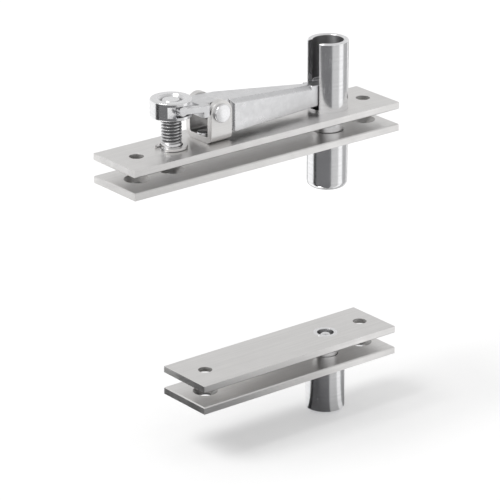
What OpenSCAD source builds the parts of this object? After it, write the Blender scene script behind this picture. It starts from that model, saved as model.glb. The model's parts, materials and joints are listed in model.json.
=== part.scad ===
// Concealed pivot hinge set for a door leaf.
// The head unit sits in the door frame above the leaf and the floor unit in the floor below it.
// The origin is on the pivot axis, at the underside of the floor plate.
// +Z is up, and the plates run from the pivot axis towards -X.

/* [Door leaf] */
// Height of the leaf, from the show face of its bottom plate to that of its top plate
leaf_h = 90; // [60:1:2400]
// Gap under and over the leaf
leaf_gap = 6; // [3:0.5:12]

/* [Plates] */
// Distance from the lift screw to the far end of the two head plates
head_tail = 27; // [22:0.5:60]
// Length of the two foot plates
foot_plate_l = 98; // [70:1:140]
// Width of all four plates
plate_w = 26; // [20:1:36]
// Thickness of all four plates
plate_t = 3; // [2.5:0.1:5]
// Distance from the pivot axis to the near end of each plate
near_end = 26; // [20:1:36]
// Bevel round the show face of a plate
plate_bevel = 0.4; // [0.1:0.1:0.8]

/* [Screw holes] */
// Diameter of a wood screw's hole
hole_d = 5.5; // [4:0.1:6]
// Diameter of the countersink at the show face
sink_d = 10; // [7:0.5:10.5]
// Distance from the near end of a plate to its first hole
near_hole = 7.8; // [6:0.1:9]
// Distance from the far end of a plate to its last hole
far_hole = 10.5; // [7:0.1:14]

/* [Lift pin and its guide] */
// Diameter of the lift pin
lift_pin_d = 12; // [11:0.5:14]
// Length of the lift pin below the head plate when it is out
lift_pin_out = 14; // [10:0.5:15]
// Height of the lift pin's top over the head plate when it is out
lift_pin_top = 12; // [11:0.5:13]
// Wall of the guide tube and of the cup in the leaf
tube_wall = 1.9; // [1.2:0.1:2.5]
// Height of the guide tube's rim over the lift pin when it is drawn in
tube_over = 2; // [0.5:0.5:8]
// Depth of the top cup from the show face of its plate
top_cup_h = 23.5; // [20:0.5:30]
// Height of the link pin over the head plate
link_z = 6.5; // [6:0.1:7]
// Diameter of the link pin
link_pin_d = 4; // [3:0.5:4.5]
// Depth of the seat that each tube or cup has in its plate
tube_seat = 1.6; // [0.8:0.1:1.8]
// Lead-in at the mouth of the top cup
lead_in = 0.6; // [0.2:0.1:0.9]

/* [Lever] */
// Distance from the pivot axis to the fulcrum
fulcrum_x = 59; // [54:0.5:66]
// Height of the fulcrum over the head plate
fulcrum_z = 12; // [11:0.5:14]
// Diameter of the fulcrum pin
fulcrum_pin_d = 5; // [4:0.5:6]
// Radius of the lever's hub
hub_r = 4.4; // [4:0.1:4.6]
// Width of the lever's hub
hub_w = 10.6; // [9:0.1:11]
// Width of the arm next to the fulcrum
arm_w = 14.6; // [12:0.1:16]
// Width of the tongue in the pin's clevis
tongue_w = 6; // [5:0.1:7]
// Wall round the slot in the tongue's end
eye_wall = 1.7; // [1.4:0.1:2]
// Thickness of the cast walls
cast_wall = 1.8; // [1.2:0.1:2.2]
// Bevel along the top edges of the arm
arm_bevel = 1.5; // [0.5:0.1:2]

/* [Fulcrum bracket] */
// Thickness of the folded sheet
bracket_t = 2.4; // [1.5:0.1:2.4]
// Width of an ear
ear_w = 10; // [9.6:0.1:10.6]
// Diameter of a rivet's shank
rivet_d = 3; // [2.5:0.1:3.2]
// Distance between the two rivets
rivet_pitch = 5.4; // [5:0.1:5.6]

/* [Lift screw and nut] */
// Thickness of the bridge between the lever's hub and its fork
bridge_t = 3; // [2:0.1:4]
// Gap between the bridge and the lift nut
bridge_gap = 1.4; // [1.2:0.1:3]
// Nominal diameter of the lift screw
screw_d = 8; // [6:0.5:8]
// Diameter of the screw's countersunk head
screw_head_d = 13; // [11:0.5:13]
// Width across flats of the hex socket
socket_af = 5; // [4:0.5:5]
// Outer diameter of the lift nut
nut_d = 16; // [15:0.5:17]
// Depth of the slot in each side of the lift nut
nut_slot = 2.5; // [1.8:0.1:2.6]
// Thickness of the nut over and under its slots
nut_flange = 1.3; // [1:0.1:2]
// Height of the nut's middle over the head plate
nut_z = 16.2; // [15.5:0.1:17]
// Diameter of the round pads at the ends of the fork
pad_d = 4; // [3.5:0.1:4.2]

/* [Floor unit] */
// Wall of the floor cup
floor_cup_wall = 1.4; // [1:0.1:2.5]
// Thickness of the floor cup's floor, which holds the floor pin
floor_cup_floor = 5.5; // [4:0.1:8]
// Diameter of the fixed floor pin
floor_pin_d = 6.6; // [5.5:0.1:7]
// How far the floor pin's tip stays below the top of the bottom leaf plate
floor_pin_below = 0.2; // [0.1:0.1:3]
// Wall of the sleeve under the leaf
sleeve_wall = 1.6; // [1.2:0.1:2]
// Length of the sleeve below the bottom leaf plate
sleeve_out = 21; // [12:0.5:30]

/* [Thrust bearing] */
// Outer diameter of the bearing
bearing_d = 13; // [12.6:0.1:13.2]
// Height of the bearing
bearing_h = 4.5; // [4.2:0.1:5]
// Diameter of a ball
ball_d = 1.6; // [1.4:0.1:1.7]
// Number of balls
ball_count = 12; // [6:1:14]

/* [Clearances] */
// Radial clearance of a shaft that turns or slides in a bore
run_fit = 0.1; // [0.05:0.01:0.15]
// Gap beside a lever, tongue or tine that moves in a slot
side_gap = 0.2; // [0.1:0.05:0.3]
// Gap around the lift screw and its head
screw_gap = 0.15; // [0.1:0.05:0.2]
// Gap between the sleeve and the rim of the floor plate's hole
rim_gap = 0.2; // [0.1:0.05:0.3]

/* [Hidden] */
$fn = 64;
eps = 0.01;

// Finishes
satin = [0.80, 0.79, 0.78];
polished = [0.88, 0.88, 0.89];
cast = [0.72, 0.72, 0.73];
brass = [0.80, 0.62, 0.30];

// Levels of the four plates' undersides, and the head plate's top
bottom_leaf_z = plate_t + leaf_gap;
top_leaf_z = bottom_leaf_z + leaf_h - plate_t;
jamb_z = top_leaf_z + plate_t + leaf_gap;
jamb_top = jamb_z + plate_t;

// Places along the plates
ear_r = ear_w / 2;
ear_back_gap = 0.6;
ear_front_gap = 0.5;
bridge_x1 = -ear_r - ear_back_gap;
bridge_x0 = bridge_x1 - bridge_t;
screw_reach = nut_d / 2 + bridge_gap - bridge_x0;
screw_x = -fulcrum_x - screw_reach;
head_far_end = screw_x - head_tail;
foot_far_end = near_end - foot_plate_l;
near_hole_x = near_end - near_hole;
head_far_x = head_far_end + far_hole;
foot_far_x = foot_far_end + far_hole;

// Bores and outsides of the tubes
lift_bore_d = lift_pin_d + 2 * run_fit;
tube_d = lift_bore_d + 2 * tube_wall;
sleeve_bore_d = floor_pin_d + 2 * run_fit;
sleeve_d = sleeve_bore_d + 2 * sleeve_wall;
rim_d = sleeve_d + 2 * rim_gap;
tube_h = lift_pin_top + lift_pin_out + tube_over;

// Lever: places are measured from the fulcrum
ear_in = hub_w / 2 + side_gap;
arm_x0 = ear_r + ear_front_gap;
arm_to_tube = 2.5;
tongue_len = tube_d / 2 + arm_to_tube;
tongue_r = link_pin_d / 2 + side_gap + eye_wall;
link_dz = link_z - fulcrum_z;
link_reach = norm([fulcrum_x, link_dz]);
link_tilt = atan2(link_dz, fulcrum_x);
lift_tilt = atan2(link_dz + lift_pin_out, fulcrum_x) - link_tilt;
arm_bottom = link_dz - tongue_r;

// Travel of the link pin along its slot, inwards to the fulcrum and outwards, as the lever turns
slot_end = 0.15;
slot_in = link_reach - fulcrum_x + slot_end;
slot_out = max(fulcrum_x / cos(link_tilt + lift_tilt) - link_reach, 0) + slot_end;

// Fork: a tine as high as its slot in the nut allows while the lever turns
pad_dz = nut_z - fulcrum_z;
nut_core = nut_d - 2 * nut_slot;
nut_slot_h = pad_d + 2 * side_gap;
nut_h = nut_slot_h + 2 * nut_flange;
tine_in = nut_core / 2 + side_gap;
tine_t = nut_slot - side_gap;
tine_chord = sqrt(pow(nut_d / 2, 2) - pow(tine_in, 2));
tine_h = nut_slot_h - 2 * side_gap - 2 * tine_chord * tan(lift_tilt / 2);

// Lift screw
screw_land = 0.2;
screw_head_h = plate_t - 0.5;
head_lift = 0.1;
socket_depth = 2.6;
clip_t = 1;
clip_z = 0.2;
groove_depth = 0.8;
groove_play = 0.1;
groove_d = screw_d - 2 * groove_depth;

// Rivets hold the bracket on each side of the fulcrum
rivet_places = [-fulcrum_x - rivet_pitch / 2, -fulcrum_x + rivet_pitch / 2];
rivet_sink = 1;

// Bearing stack, from the cup's floor up to the sleeve
sleeve_bottom = bottom_leaf_z - sleeve_out;
bearing_z = sleeve_bottom - bearing_h;
floor_cup_d = bearing_d + 2 * run_fit + 2 * floor_cup_wall;
floor_cup_bottom = bearing_z - floor_cup_floor;
pin_hole_floor = 1.5;
pin_hole_z = floor_cup_bottom + pin_hole_floor;
ball_z = bearing_z + bearing_h / 2;
ball_pitch_r = (bearing_d + floor_pin_d) / 4 + 0.1;
track_depth = 0.1;
race_space = ball_d - 2 * track_depth;
race_t = (bearing_h - race_space) / 2;
race_step = 0.2;
ball_play = 0.05;

// A ring with its walls square, from z0 up to z1
module ring(d_in, d_out, z0, z1) {
    translate([0, 0, z0])
        linear_extrude(z1 - z0)
            difference() {
                circle(d = d_out);
                circle(d = d_in);
            }
}

// A profile in the XZ plane, drawn through the width w and centred on Y
module across(w) {
    translate([0, w / 2, 0])
        rotate([90, 0, 0])
            linear_extrude(w) children();
}

// A solid of revolution of the points given as [radius, z]
module turned(points) {
    rotate_extrude() polygon(points);
}

// A rectangle whose corners at one level are bevelled: side is 1 for the top, -1 for the bottom
module bevelled(x0, x1, side) {
    b = plate_bevel;
    bottom = side < 0 ? b : 0;
    top = side > 0 ? b : 0;
    polygon([[x0 + bottom, 0], [x1 - bottom, 0], [x1, bottom], [x1, plate_t - top],
             [x1 - top, plate_t], [x0 + top, plate_t], [x0, plate_t - top], [x0, bottom]]);
}

// A plate from x0 to x1 with its underside at z = 0 and its show face on the given side
module plate_blank(x0, x1, side) {
    intersection() {
        across(plate_w) bevelled(x0, x1, side);
        translate([x0 - 1, 0, 0])
            rotate([90, 0, 90])
                linear_extrude(x1 - x0 + 2) bevelled(-plate_w / 2, plate_w / 2, side);
    }
}

// The cut for one wood screw, countersunk on the show face
module screw_hole(x, side) {
    sink_h = (sink_d - hole_d) / 2;
    translate([x, 0, 0]) {
        translate([0, 0, -1]) cylinder(d = hole_d, h = plate_t + 2);
        if (side > 0)
            translate([0, 0, plate_t - sink_h])
                cylinder(d1 = hole_d, d2 = sink_d + 2 * eps, h = sink_h + eps);
        else
            translate([0, 0, -eps])
                cylinder(d1 = sink_d + 2 * eps, d2 = hole_d, h = sink_h + eps);
    }
}

// The stepped hole that a tube seats in: seat is 1 for a seat in the top, -1 for one in the underside
module tube_hole(bore, outer, seat) {
    translate([0, 0, -1]) cylinder(d = bore, h = plate_t + 2);
    translate([0, 0, seat > 0 ? plate_t - tube_seat : -1])
        cylinder(d = outer, h = tube_seat + 1);
}

// Half the section of a cup open at the top, with a rounded edge below. The child is its bore's profile.
module cup_profile(d, bottom, top) {
    round_r = 2.4;
    difference() {
        union() {
            translate([0, bottom + round_r]) square([d / 2, top - bottom - round_r]);
            translate([0, bottom]) square([d / 2 - round_r, round_r + eps]);
            translate([d / 2 - round_r, bottom + round_r]) circle(r = round_r);
        }
        children();
        translate([-2 * d, bottom - 1]) square([2 * d, top - bottom + 2]);
    }
}

// ---- Head unit, in the door frame ----

module jamb_plate() {
    shank_hole_d = screw_d + 2 * screw_gap;
    head_hole_d = screw_head_d + 2 * screw_gap;
    head_hole_h = 1 + screw_land;
    color(satin)
        translate([0, 0, jamb_z])
            difference() {
                plate_blank(head_far_end, near_end, -1);
                tube_hole(lift_bore_d, tube_d, 1);
                screw_hole(near_hole_x, -1);
                screw_hole(head_far_x, -1);
                translate([screw_x, 0, -1]) {
                    cylinder(d = shank_hole_d, h = plate_t + 2);
                    cylinder(d = head_hole_d, h = head_hole_h);
                    translate([0, 0, head_hole_h])
                        cylinder(d1 = head_hole_d, d2 = shank_hole_d, h = screw_head_h);
                }
                for (x = rivet_places) translate([x, 0, 0]) rivet_cut();
            }
}

module pin_guide_tube() {
    extra_gap = 0.15;
    under_tongue = 1.8;
    slot_w = tongue_w + 2 * (side_gap + extra_gap);
    slot_z = link_z - tongue_r - under_tongue;
    rim = 0.5;
    color(polished)
        translate([0, 0, jamb_top])
            difference() {
                turned([[lift_bore_d / 2, -tube_seat], [tube_d / 2, -tube_seat],
                        [tube_d / 2, tube_h - rim], [tube_d / 2 - rim, tube_h],
                        [lift_bore_d / 2 + rim / 2, tube_h], [lift_bore_d / 2, tube_h - rim / 2]]);
                translate([-tube_d, -slot_w / 2, slot_z]) cube([tube_d, slot_w, tube_h]);
            }
}

module rivet_cut() {
    translate([0, 0, -1]) cylinder(d = rivet_d, h = plate_t + 2);
    translate([0, 0, -eps])
        cylinder(d1 = rivet_d + 2 * rivet_sink + 2 * eps, d2 = rivet_d, h = rivet_sink + eps);
}

module fulcrum_bracket() {
    outer = ear_in + bracket_t;
    bend = 0.8;
    bend_out = bend + bracket_t;
    color(satin)
        translate([-fulcrum_x, 0, jamb_top])
            difference() {
                intersection() {
                    // folded section, drawn along X
                    translate([-ear_r, 0, 0])
                        rotate([90, 0, 90])
                            linear_extrude(ear_w)
                                difference() {
                                    union() {
                                        translate([-outer, bend_out])
                                            square([2 * outer, fulcrum_z + ear_r]);
                                        translate([-outer + bend_out, 0])
                                            square([2 * (outer - bend_out), bend_out + eps]);
                                        for (s = [-1, 1])
                                            translate([s * (outer - bend_out), bend_out])
                                                circle(r = bend_out);
                                    }
                                    translate([-ear_in, bend_out]) square([2 * ear_in, 2 * fulcrum_z]);
                                    translate([-ear_in + bend, bracket_t])
                                        square([2 * (ear_in - bend), 2 * fulcrum_z]);
                                    for (s = [-1, 1])
                                        translate([s * (ear_in - bend), bend_out]) circle(r = bend);
                                }
                    // round tops of the ears
                    across(2 * outer) {
                        translate([-ear_r, 0]) square([ear_w, fulcrum_z]);
                        translate([0, fulcrum_z]) circle(r = ear_r);
                    }
                }
                translate([0, outer + 1, fulcrum_z]) rotate([90, 0, 0])
                    cylinder(d = fulcrum_pin_d, h = 2 * outer + 2);
                for (x = rivet_places)
                    translate([x + fulcrum_x, 0, -1]) cylinder(d = rivet_d, h = bracket_t + 2);
            }
}

module bracket_rivets() {
    shank_r = rivet_d / 2;
    head_r = shank_r + 0.7;
    edge = 0.4;
    grip = plate_t + bracket_t;
    head_top = grip + 0.7;
    color(polished)
        for (x = rivet_places)
            translate([x, 0, jamb_z])
                turned([[0, 0], [shank_r + rivet_sink, 0], [shank_r, rivet_sink], [shank_r, grip],
                        [head_r, grip], [head_r, head_top - edge], [head_r - edge, head_top],
                        [0, head_top]]);
}

// The pin has a turned head at one end and is peened over at the other
module fulcrum_pin() {
    outer = ear_in + bracket_t;
    shank_r = fulcrum_pin_d / 2;
    head_r = shank_r + 1.2;
    head_end = -outer - 1.2;
    edge = 0.5;
    peen_r = shank_r + 0.6;
    peen_end = outer + 0.8;
    color(polished)
        translate([-fulcrum_x, 0, jamb_top + fulcrum_z])
            rotate([-90, 0, 0])
                turned([[0, head_end], [head_r - edge, head_end], [head_r, head_end + edge],
                        [head_r, -outer], [shank_r, -outer], [shank_r, outer], [peen_r, outer],
                        [peen_r, peen_end - edge], [peen_r - edge, peen_end], [0, peen_end]]);
}

// ---- Lever, drawn about the fulcrum ----

// Height of the arm's top line at x: the outer tangent of the hub and the tongue's end
function belt_turn() = asin((hub_r - tongue_r) / link_reach);
function top_angle() = link_tilt - belt_turn();
function arm_top(x) = hub_r / cos(top_angle()) + x * tan(top_angle());

// Half the arm's width at x, from the shoulder to the tongue
function arm_half(x) =
    arm_w / 2 + (tongue_w - arm_w) / 2 * (x - arm_x0) / (fulcrum_x - tongue_len - arm_x0);

module lever_side() {
    a = top_angle();
    b = link_tilt + belt_turn();
    belly_r = 3;
    bridge_drop = 0.5;
    // hub, tongue and the web between them
    circle(r = hub_r);
    translate([fulcrum_x, link_dz]) circle(r = tongue_r);
    polygon([[-hub_r * sin(a), hub_r * cos(a)],
             [fulcrum_x - tongue_r * sin(a), link_dz + tongue_r * cos(a)],
             [fulcrum_x + tongue_r * sin(b), link_dz - tongue_r * cos(b)],
             [hub_r * sin(b), -hub_r * cos(b)]]);
    // deep belly of the arm, with a rounded heel
    polygon([[arm_x0, 0], [fulcrum_x, link_dz], [fulcrum_x, arm_bottom], [arm_x0 + belly_r, arm_bottom],
             [arm_x0, arm_bottom + belly_r]]);
    translate([arm_x0 + belly_r, arm_bottom + belly_r]) circle(r = belly_r);
    // gusset from the hub down to the heel
    polygon([[0, -hub_r], [arm_x0 + eps, arm_bottom + belly_r], [arm_x0 + eps, 0], [0, 0]]);
    // bridge behind the ears, flush with the hub's top
    translate([bridge_x0, -bridge_drop]) square([-bridge_x0, hub_r + bridge_drop]);
}

module lever_plan() {
    shoulder_r = 1.5;
    translate([bridge_x1 - eps, -hub_w / 2]) square([arm_x0 - bridge_x1 + 2 * eps, hub_w]);
    translate([bridge_x0, -tine_in - tine_t]) square([bridge_x1 - bridge_x0, 2 * (tine_in + tine_t)]);
    translate([arm_x0 + 1, -tongue_w / 2]) square([fulcrum_x + tongue_r - arm_x0, tongue_w]);
    for (s = [0, 1])
        mirror([0, s])
            polygon([[arm_x0, -eps], [arm_x0, arm_w / 2 - shoulder_r],
                     [arm_x0 + shoulder_r, arm_half(arm_x0 + shoulder_r)],
                     [fulcrum_x - tongue_len, tongue_w / 2], [fulcrum_x - tongue_len, -eps]]);
}

// The pocket that coring leaves in the arm's underside
module lever_core() {
    x0 = arm_x0 + cast_wall;
    x1 = fulcrum_x - tongue_len - cast_wall;
    rib_x = (x0 + x1) / 2;
    rib_set_back = 2;
    intersection() {
        across(arm_w)
            difference() {
                polygon([[x0, arm_bottom - 1], [x1, arm_bottom - 1], [x1, arm_top(x1) - cast_wall],
                         [x0, arm_top(x0) - cast_wall]]);
                translate([rib_x - cast_wall / 2, arm_bottom + rib_set_back])
                    square([cast_wall, fulcrum_z]);
            }
        translate([0, 0, arm_bottom - 2])
            linear_extrude(fulcrum_z + 10)
                polygon([[x0, arm_half(x0) - cast_wall], [x1, arm_half(x1) - cast_wall],
                         [x1, cast_wall - arm_half(x1)], [x0, cast_wall - arm_half(x0)]]);
    }
}

// A bar of square section along the arm's top edge, set on its corner, that cuts the bevel
module arm_edge_cut() {
    x0 = arm_x0 - 1;
    x1 = fulcrum_x - tongue_len;
    run = x1 - x0;
    side = (arm_half(x1) - arm_half(x0)) / run;
    length = run * norm([1, side, tan(top_angle())]);
    width = arm_bevel * sqrt(2);
    translate([x0, arm_half(x0), arm_top(x0)])
        rotate([0, -top_angle(), atan(side)])
            rotate([45, 0, 0])
                translate([0, -width / 2, -width / 2]) cube([length, width, width]);
}

// Fork tine and pad, in the XZ plane: it slopes so that it is level with its slot halfway through the lift
module tine_side() {
    translate([-screw_reach, pad_dz]) {
        circle(d = pad_d);
        rotate(-lift_tilt / 2)
            translate([0, -tine_h / 2])
                square([(screw_reach + bridge_x0) / cos(lift_tilt / 2) + 1, tine_h]);
    }
}

module lever() {
    color(cast)
        translate([-fulcrum_x, 0, jamb_top + fulcrum_z])
            difference() {
                union() {
                    intersection() {
                        across(arm_w + nut_d) lever_side();
                        translate([0, 0, -3 * fulcrum_z]) linear_extrude(6 * fulcrum_z) lever_plan();
                    }
                    for (s = [-1, 1])
                        translate([0, s * (tine_in + tine_t / 2), 0]) across(tine_t) tine_side();
                }
                lever_core();
                for (s = [0, 1]) mirror([0, s, 0]) arm_edge_cut();
                across(arm_w) circle(d = fulcrum_pin_d + run_fit);
                // slot for the link pin, along the line to the fulcrum
                across(arm_w)
                    rotate(link_tilt)
                        translate([link_reach, 0]) {
                            for (x = [-slot_in, slot_out])
                                translate([x, 0]) circle(d = link_pin_d + 2 * side_gap);
                            translate([-slot_in, -link_pin_d / 2 - side_gap])
                                square([slot_in + slot_out, link_pin_d + 2 * side_gap]);
                        }
            }
}

// ---- Lift screw and nut ----

// Round nut with a slot milled in each side: the slots take the fork's tines and keep it from turning
module lift_nut() {
    edge = 0.5;
    mouth = 1;
    bore = screw_d / 2 + run_fit / 2;
    color(polished)
        translate([screw_x, 0, jamb_top + nut_z])
            difference() {
                turned([[bore, -nut_h / 2 + edge], [bore + edge, -nut_h / 2],
                        [nut_d / 2 - edge, -nut_h / 2], [nut_d / 2, -nut_h / 2 + edge],
                        [nut_d / 2, nut_h / 2 - edge], [nut_d / 2 - edge, nut_h / 2],
                        [bore + mouth, nut_h / 2], [bore, nut_h / 2 - mouth]]);
                for (s = [0, 1])
                    mirror([0, s, 0])
                        translate([-nut_d, nut_core / 2, -nut_slot_h / 2])
                            cube([2 * nut_d, nut_d, nut_slot_h]);
            }
}

module adjusting_screw() {
    tip = 0.8;
    below_nut_top = 0.5;
    top = plate_t + nut_z + nut_h / 2 - below_nut_top;
    r = screw_d / 2;
    groove_z = plate_t + clip_z - groove_play;
    groove_top = groove_z + clip_t + 2 * groove_play;
    color(polished)
        translate([screw_x, 0, jamb_z])
            difference() {
                turned([[0, 0], [screw_head_d / 2, 0], [screw_head_d / 2, screw_land],
                        [r, screw_land + screw_head_h - head_lift], [r, groove_z],
                        [groove_d / 2, groove_z], [groove_d / 2, groove_top], [r, groove_top],
                        [r, top - tip], [r - tip, top], [0, top]]);
                translate([0, 0, -1])
                    cylinder(d = socket_af / cos(30), h = 1 + socket_depth, $fn = 6);
            }
}

// Retaining clip in the screw's groove, with three lugs and an open side
module screw_clip() {
    band = 1.8;
    inner_r = screw_d / 2 + 0.4;
    outer_r = inner_r + band;
    lug_w = 2.2;
    lug_root = 0.4;
    mouth_w = groove_d - 0.4;
    color(satin)
        translate([screw_x, 0, jamb_top + clip_z])
            linear_extrude(clip_t)
                difference() {
                    union() {
                        difference() {
                            circle(r = outer_r);
                            circle(r = inner_r);
                        }
                        for (a = [0, 100, 260])
                            rotate(a)
                                translate([groove_d / 2 - lug_root, -lug_w / 2])
                                    square([inner_r - groove_d / 2 + 2 * lug_root, lug_w]);
                    }
                    circle(d = groove_d);
                    translate([-2 * outer_r, -mouth_w / 2]) square([2 * outer_r, mouth_w]);
                }
}

// ---- Lift pin ----

module top_pivot_pin() {
    r = lift_pin_d / 2;
    tip = 1.5;
    edge = 0.4;
    clevis_w = tongue_w + 2 * side_gap;
    under_tongue = 0.3;
    clevis_z = link_z - tongue_r / cos(lift_tilt) - r * tan(lift_tilt) - under_tongue;
    color(polished)
        translate([0, 0, jamb_top])
            difference() {
                turned([[0, -plate_t - lift_pin_out], [r - tip, -plate_t - lift_pin_out],
                        [r, -plate_t - lift_pin_out + tip], [r, lift_pin_top - edge],
                        [r - edge, lift_pin_top], [0, lift_pin_top]]);
                translate([-lift_pin_d, -clevis_w / 2, clevis_z])
                    cube([2 * lift_pin_d, clevis_w, lift_pin_top]);
                translate([0, lift_pin_d, link_z]) rotate([90, 0, 0])
                    cylinder(d = link_pin_d, h = 2 * lift_pin_d);
            }
}

module link_pin() {
    set_in = 0.1;
    half = sqrt(pow(lift_pin_d / 2, 2) - pow(link_pin_d / 2, 2)) - set_in;
    color(polished)
        translate([0, half, jamb_top + link_z])
            rotate([90, 0, 0])
                cylinder(d = link_pin_d, h = 2 * half);
}

// ---- Leaf plates ----

module top_leaf_plate() {
    color(satin)
        translate([0, 0, top_leaf_z])
            difference() {
                plate_blank(head_far_end, near_end, 1);
                tube_hole(lift_bore_d, tube_d, -1);
                translate([0, 0, plate_t - lead_in])
                    cylinder(d1 = lift_bore_d, d2 = lift_bore_d + 2 * lead_in + 2 * eps,
                             h = lead_in + eps);
                for (x = [near_hole_x, screw_x, head_far_x]) screw_hole(x, 1);
            }
}

// Cup with a drilled bore, whose bottom is the cone of the drill's point
module top_cup() {
    bottom = top_leaf_z + plate_t - top_cup_h;
    top = top_leaf_z + tube_seat;
    r = lift_bore_d / 2;
    drill_slope = 31;
    point_h = r * tan(drill_slope);
    floor_t = 2;
    color(polished)
        rotate_extrude()
            cup_profile(tube_d, bottom, top)
                polygon([[0, bottom + floor_t], [r, bottom + floor_t + point_h],
                         [r, top + 1], [0, top + 1]]);
}

module bottom_leaf_plate() {
    color(satin)
        translate([0, 0, bottom_leaf_z])
            difference() {
                plate_blank(foot_far_end, near_end, -1);
                translate([0, 0, -1]) cylinder(d = sleeve_d, h = plate_t + 2);
                for (x = [near_hole_x, foot_far_x]) screw_hole(x, -1);
            }
}

// The sleeve turns on the floor pin and stands on the bearing
module bottom_sleeve() {
    top = bottom_leaf_z + plate_t;
    edge = 0.4;
    color(polished)
        turned([[sleeve_bore_d / 2 + edge, sleeve_bottom], [sleeve_d / 2 - edge, sleeve_bottom],
                [sleeve_d / 2, sleeve_bottom + edge], [sleeve_d / 2, top],
                [sleeve_bore_d / 2, top], [sleeve_bore_d / 2, sleeve_bottom + edge]]);
}

// ---- Thrust bearing ----

// One race: a washer with the balls' track in the face towards them
module race(d_in, d_out, z) {
    difference() {
        ring(d_in, d_out, z, z + race_t);
        translate([0, 0, ball_z])
            rotate_extrude()
                translate([ball_pitch_r, 0]) circle(r = ball_d / 2 + ball_play);
    }
}

module upper_race() {
    color(polished) race(sleeve_bore_d + race_step, bearing_d - race_step, sleeve_bottom - race_t);
}

module lower_race() {
    color(polished) race(floor_pin_d + run_fit, bearing_d, bearing_z);
}

module ball_cage() {
    cage_t = 0.8;
    cage_d_in = sleeve_bore_d + 0.7;
    cage_d_out = bearing_d - 0.6;
    color(brass)
        difference() {
            ring(cage_d_in, cage_d_out, ball_z - cage_t / 2, ball_z + cage_t / 2);
            for (i = [0 : ball_count - 1])
                rotate(i * 360 / ball_count)
                    translate([ball_pitch_r, 0, ball_z - cage_t])
                        cylinder(d = ball_d + 2 * ball_play, h = 2 * cage_t);
        }
}

module bearing_balls() {
    color(polished)
        for (i = [0 : ball_count - 1])
            rotate(i * 360 / ball_count)
                translate([ball_pitch_r, 0, ball_z]) sphere(d = ball_d);
}

// ---- Floor unit ----

module floor_plate() {
    color(satin)
        difference() {
            plate_blank(foot_far_end, near_end, 1);
            tube_hole(rim_d, floor_cup_d, -1);
            for (x = [near_hole_x, foot_far_x]) screw_hole(x, 1);
        }
}

module floor_cup() {
    bore_r = bearing_d / 2 + run_fit;
    color(polished)
        rotate_extrude()
            cup_profile(floor_cup_d, floor_cup_bottom, tube_seat)
                polygon([[0, pin_hole_z], [floor_pin_d / 2, pin_hole_z], [floor_pin_d / 2, bearing_z],
                         [bore_r, bearing_z], [bore_r, tube_seat + 1], [0, tube_seat + 1]]);
}

// Pressed into the cup's floor, with a round nose
module floor_pin() {
    r = floor_pin_d / 2;
    nose_z = bottom_leaf_z + plate_t - floor_pin_below - r;
    color(polished)
        rotate_extrude()
            union() {
                translate([0, pin_hole_z]) square([r, nose_z - pin_hole_z]);
                intersection() {
                    translate([0, nose_z]) circle(r = r);
                    translate([0, nose_z]) square([r, r]);
                }
            }
}

jamb_plate();
pin_guide_tube();
fulcrum_bracket();
bracket_rivets();
fulcrum_pin();
lever();
lift_nut();
adjusting_screw();
screw_clip();
top_pivot_pin();
link_pin();
top_leaf_plate();
top_cup();
bottom_leaf_plate();
bottom_sleeve();
upper_race();
ball_cage();
bearing_balls();
lower_race();
floor_plate();
floor_cup();
floor_pin();
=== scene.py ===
"""Finished surfaces for a concealed pivot hinge set.

Run as a script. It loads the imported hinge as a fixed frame, builds a finished piece for each of its
parts, with rounded edges, cut threads and worn metal, and lights them on a pale floor.
All lengths are in metres.
"""
import json
import math

import bmesh
import bpy
import numpy as np
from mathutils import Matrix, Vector


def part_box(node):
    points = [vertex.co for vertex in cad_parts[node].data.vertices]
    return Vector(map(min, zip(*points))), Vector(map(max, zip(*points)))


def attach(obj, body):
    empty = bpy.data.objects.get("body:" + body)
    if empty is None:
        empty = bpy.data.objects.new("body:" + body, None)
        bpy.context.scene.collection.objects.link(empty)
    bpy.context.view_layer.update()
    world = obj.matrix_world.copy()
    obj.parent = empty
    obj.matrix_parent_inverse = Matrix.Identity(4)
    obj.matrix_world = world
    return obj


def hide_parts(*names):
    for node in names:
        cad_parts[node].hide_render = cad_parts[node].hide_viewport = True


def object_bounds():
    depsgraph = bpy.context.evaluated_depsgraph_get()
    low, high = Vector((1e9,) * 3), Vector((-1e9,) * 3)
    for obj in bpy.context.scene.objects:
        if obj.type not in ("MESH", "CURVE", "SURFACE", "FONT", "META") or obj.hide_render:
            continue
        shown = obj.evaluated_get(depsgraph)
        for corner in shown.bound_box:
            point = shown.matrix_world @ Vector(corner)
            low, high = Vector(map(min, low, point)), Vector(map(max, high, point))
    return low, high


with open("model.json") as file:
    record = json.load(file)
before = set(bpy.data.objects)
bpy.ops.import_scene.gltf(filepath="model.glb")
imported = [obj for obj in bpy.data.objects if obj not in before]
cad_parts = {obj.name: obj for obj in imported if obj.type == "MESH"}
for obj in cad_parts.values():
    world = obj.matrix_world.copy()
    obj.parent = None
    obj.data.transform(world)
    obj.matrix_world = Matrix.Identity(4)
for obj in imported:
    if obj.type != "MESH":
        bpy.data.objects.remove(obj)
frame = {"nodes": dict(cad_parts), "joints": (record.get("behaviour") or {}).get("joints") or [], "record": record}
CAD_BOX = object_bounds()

bl_info = {
    "name": "Pivot hinge finish",
    "version": (1, 0, 0),
    "blender": (4, 5, 0),
    "location": "View3D > Sidebar > Pivot hinge",
    "description": "Builds the finished surfaces of a concealed pivot hinge set around its packed frame",
    "category": "Object",
}

MM = 0.001
JOINTS = {joint["name"]: joint for joint in frame["joints"]}
MOUNTS = {mount["name"]: mount for mount in frame["record"]["mounts"]}
BODIES = frame["record"]["behaviour"]["bodies"]
BODY_OF = {node: body for body, nodes in BODIES.items() for node in nodes}

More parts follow.
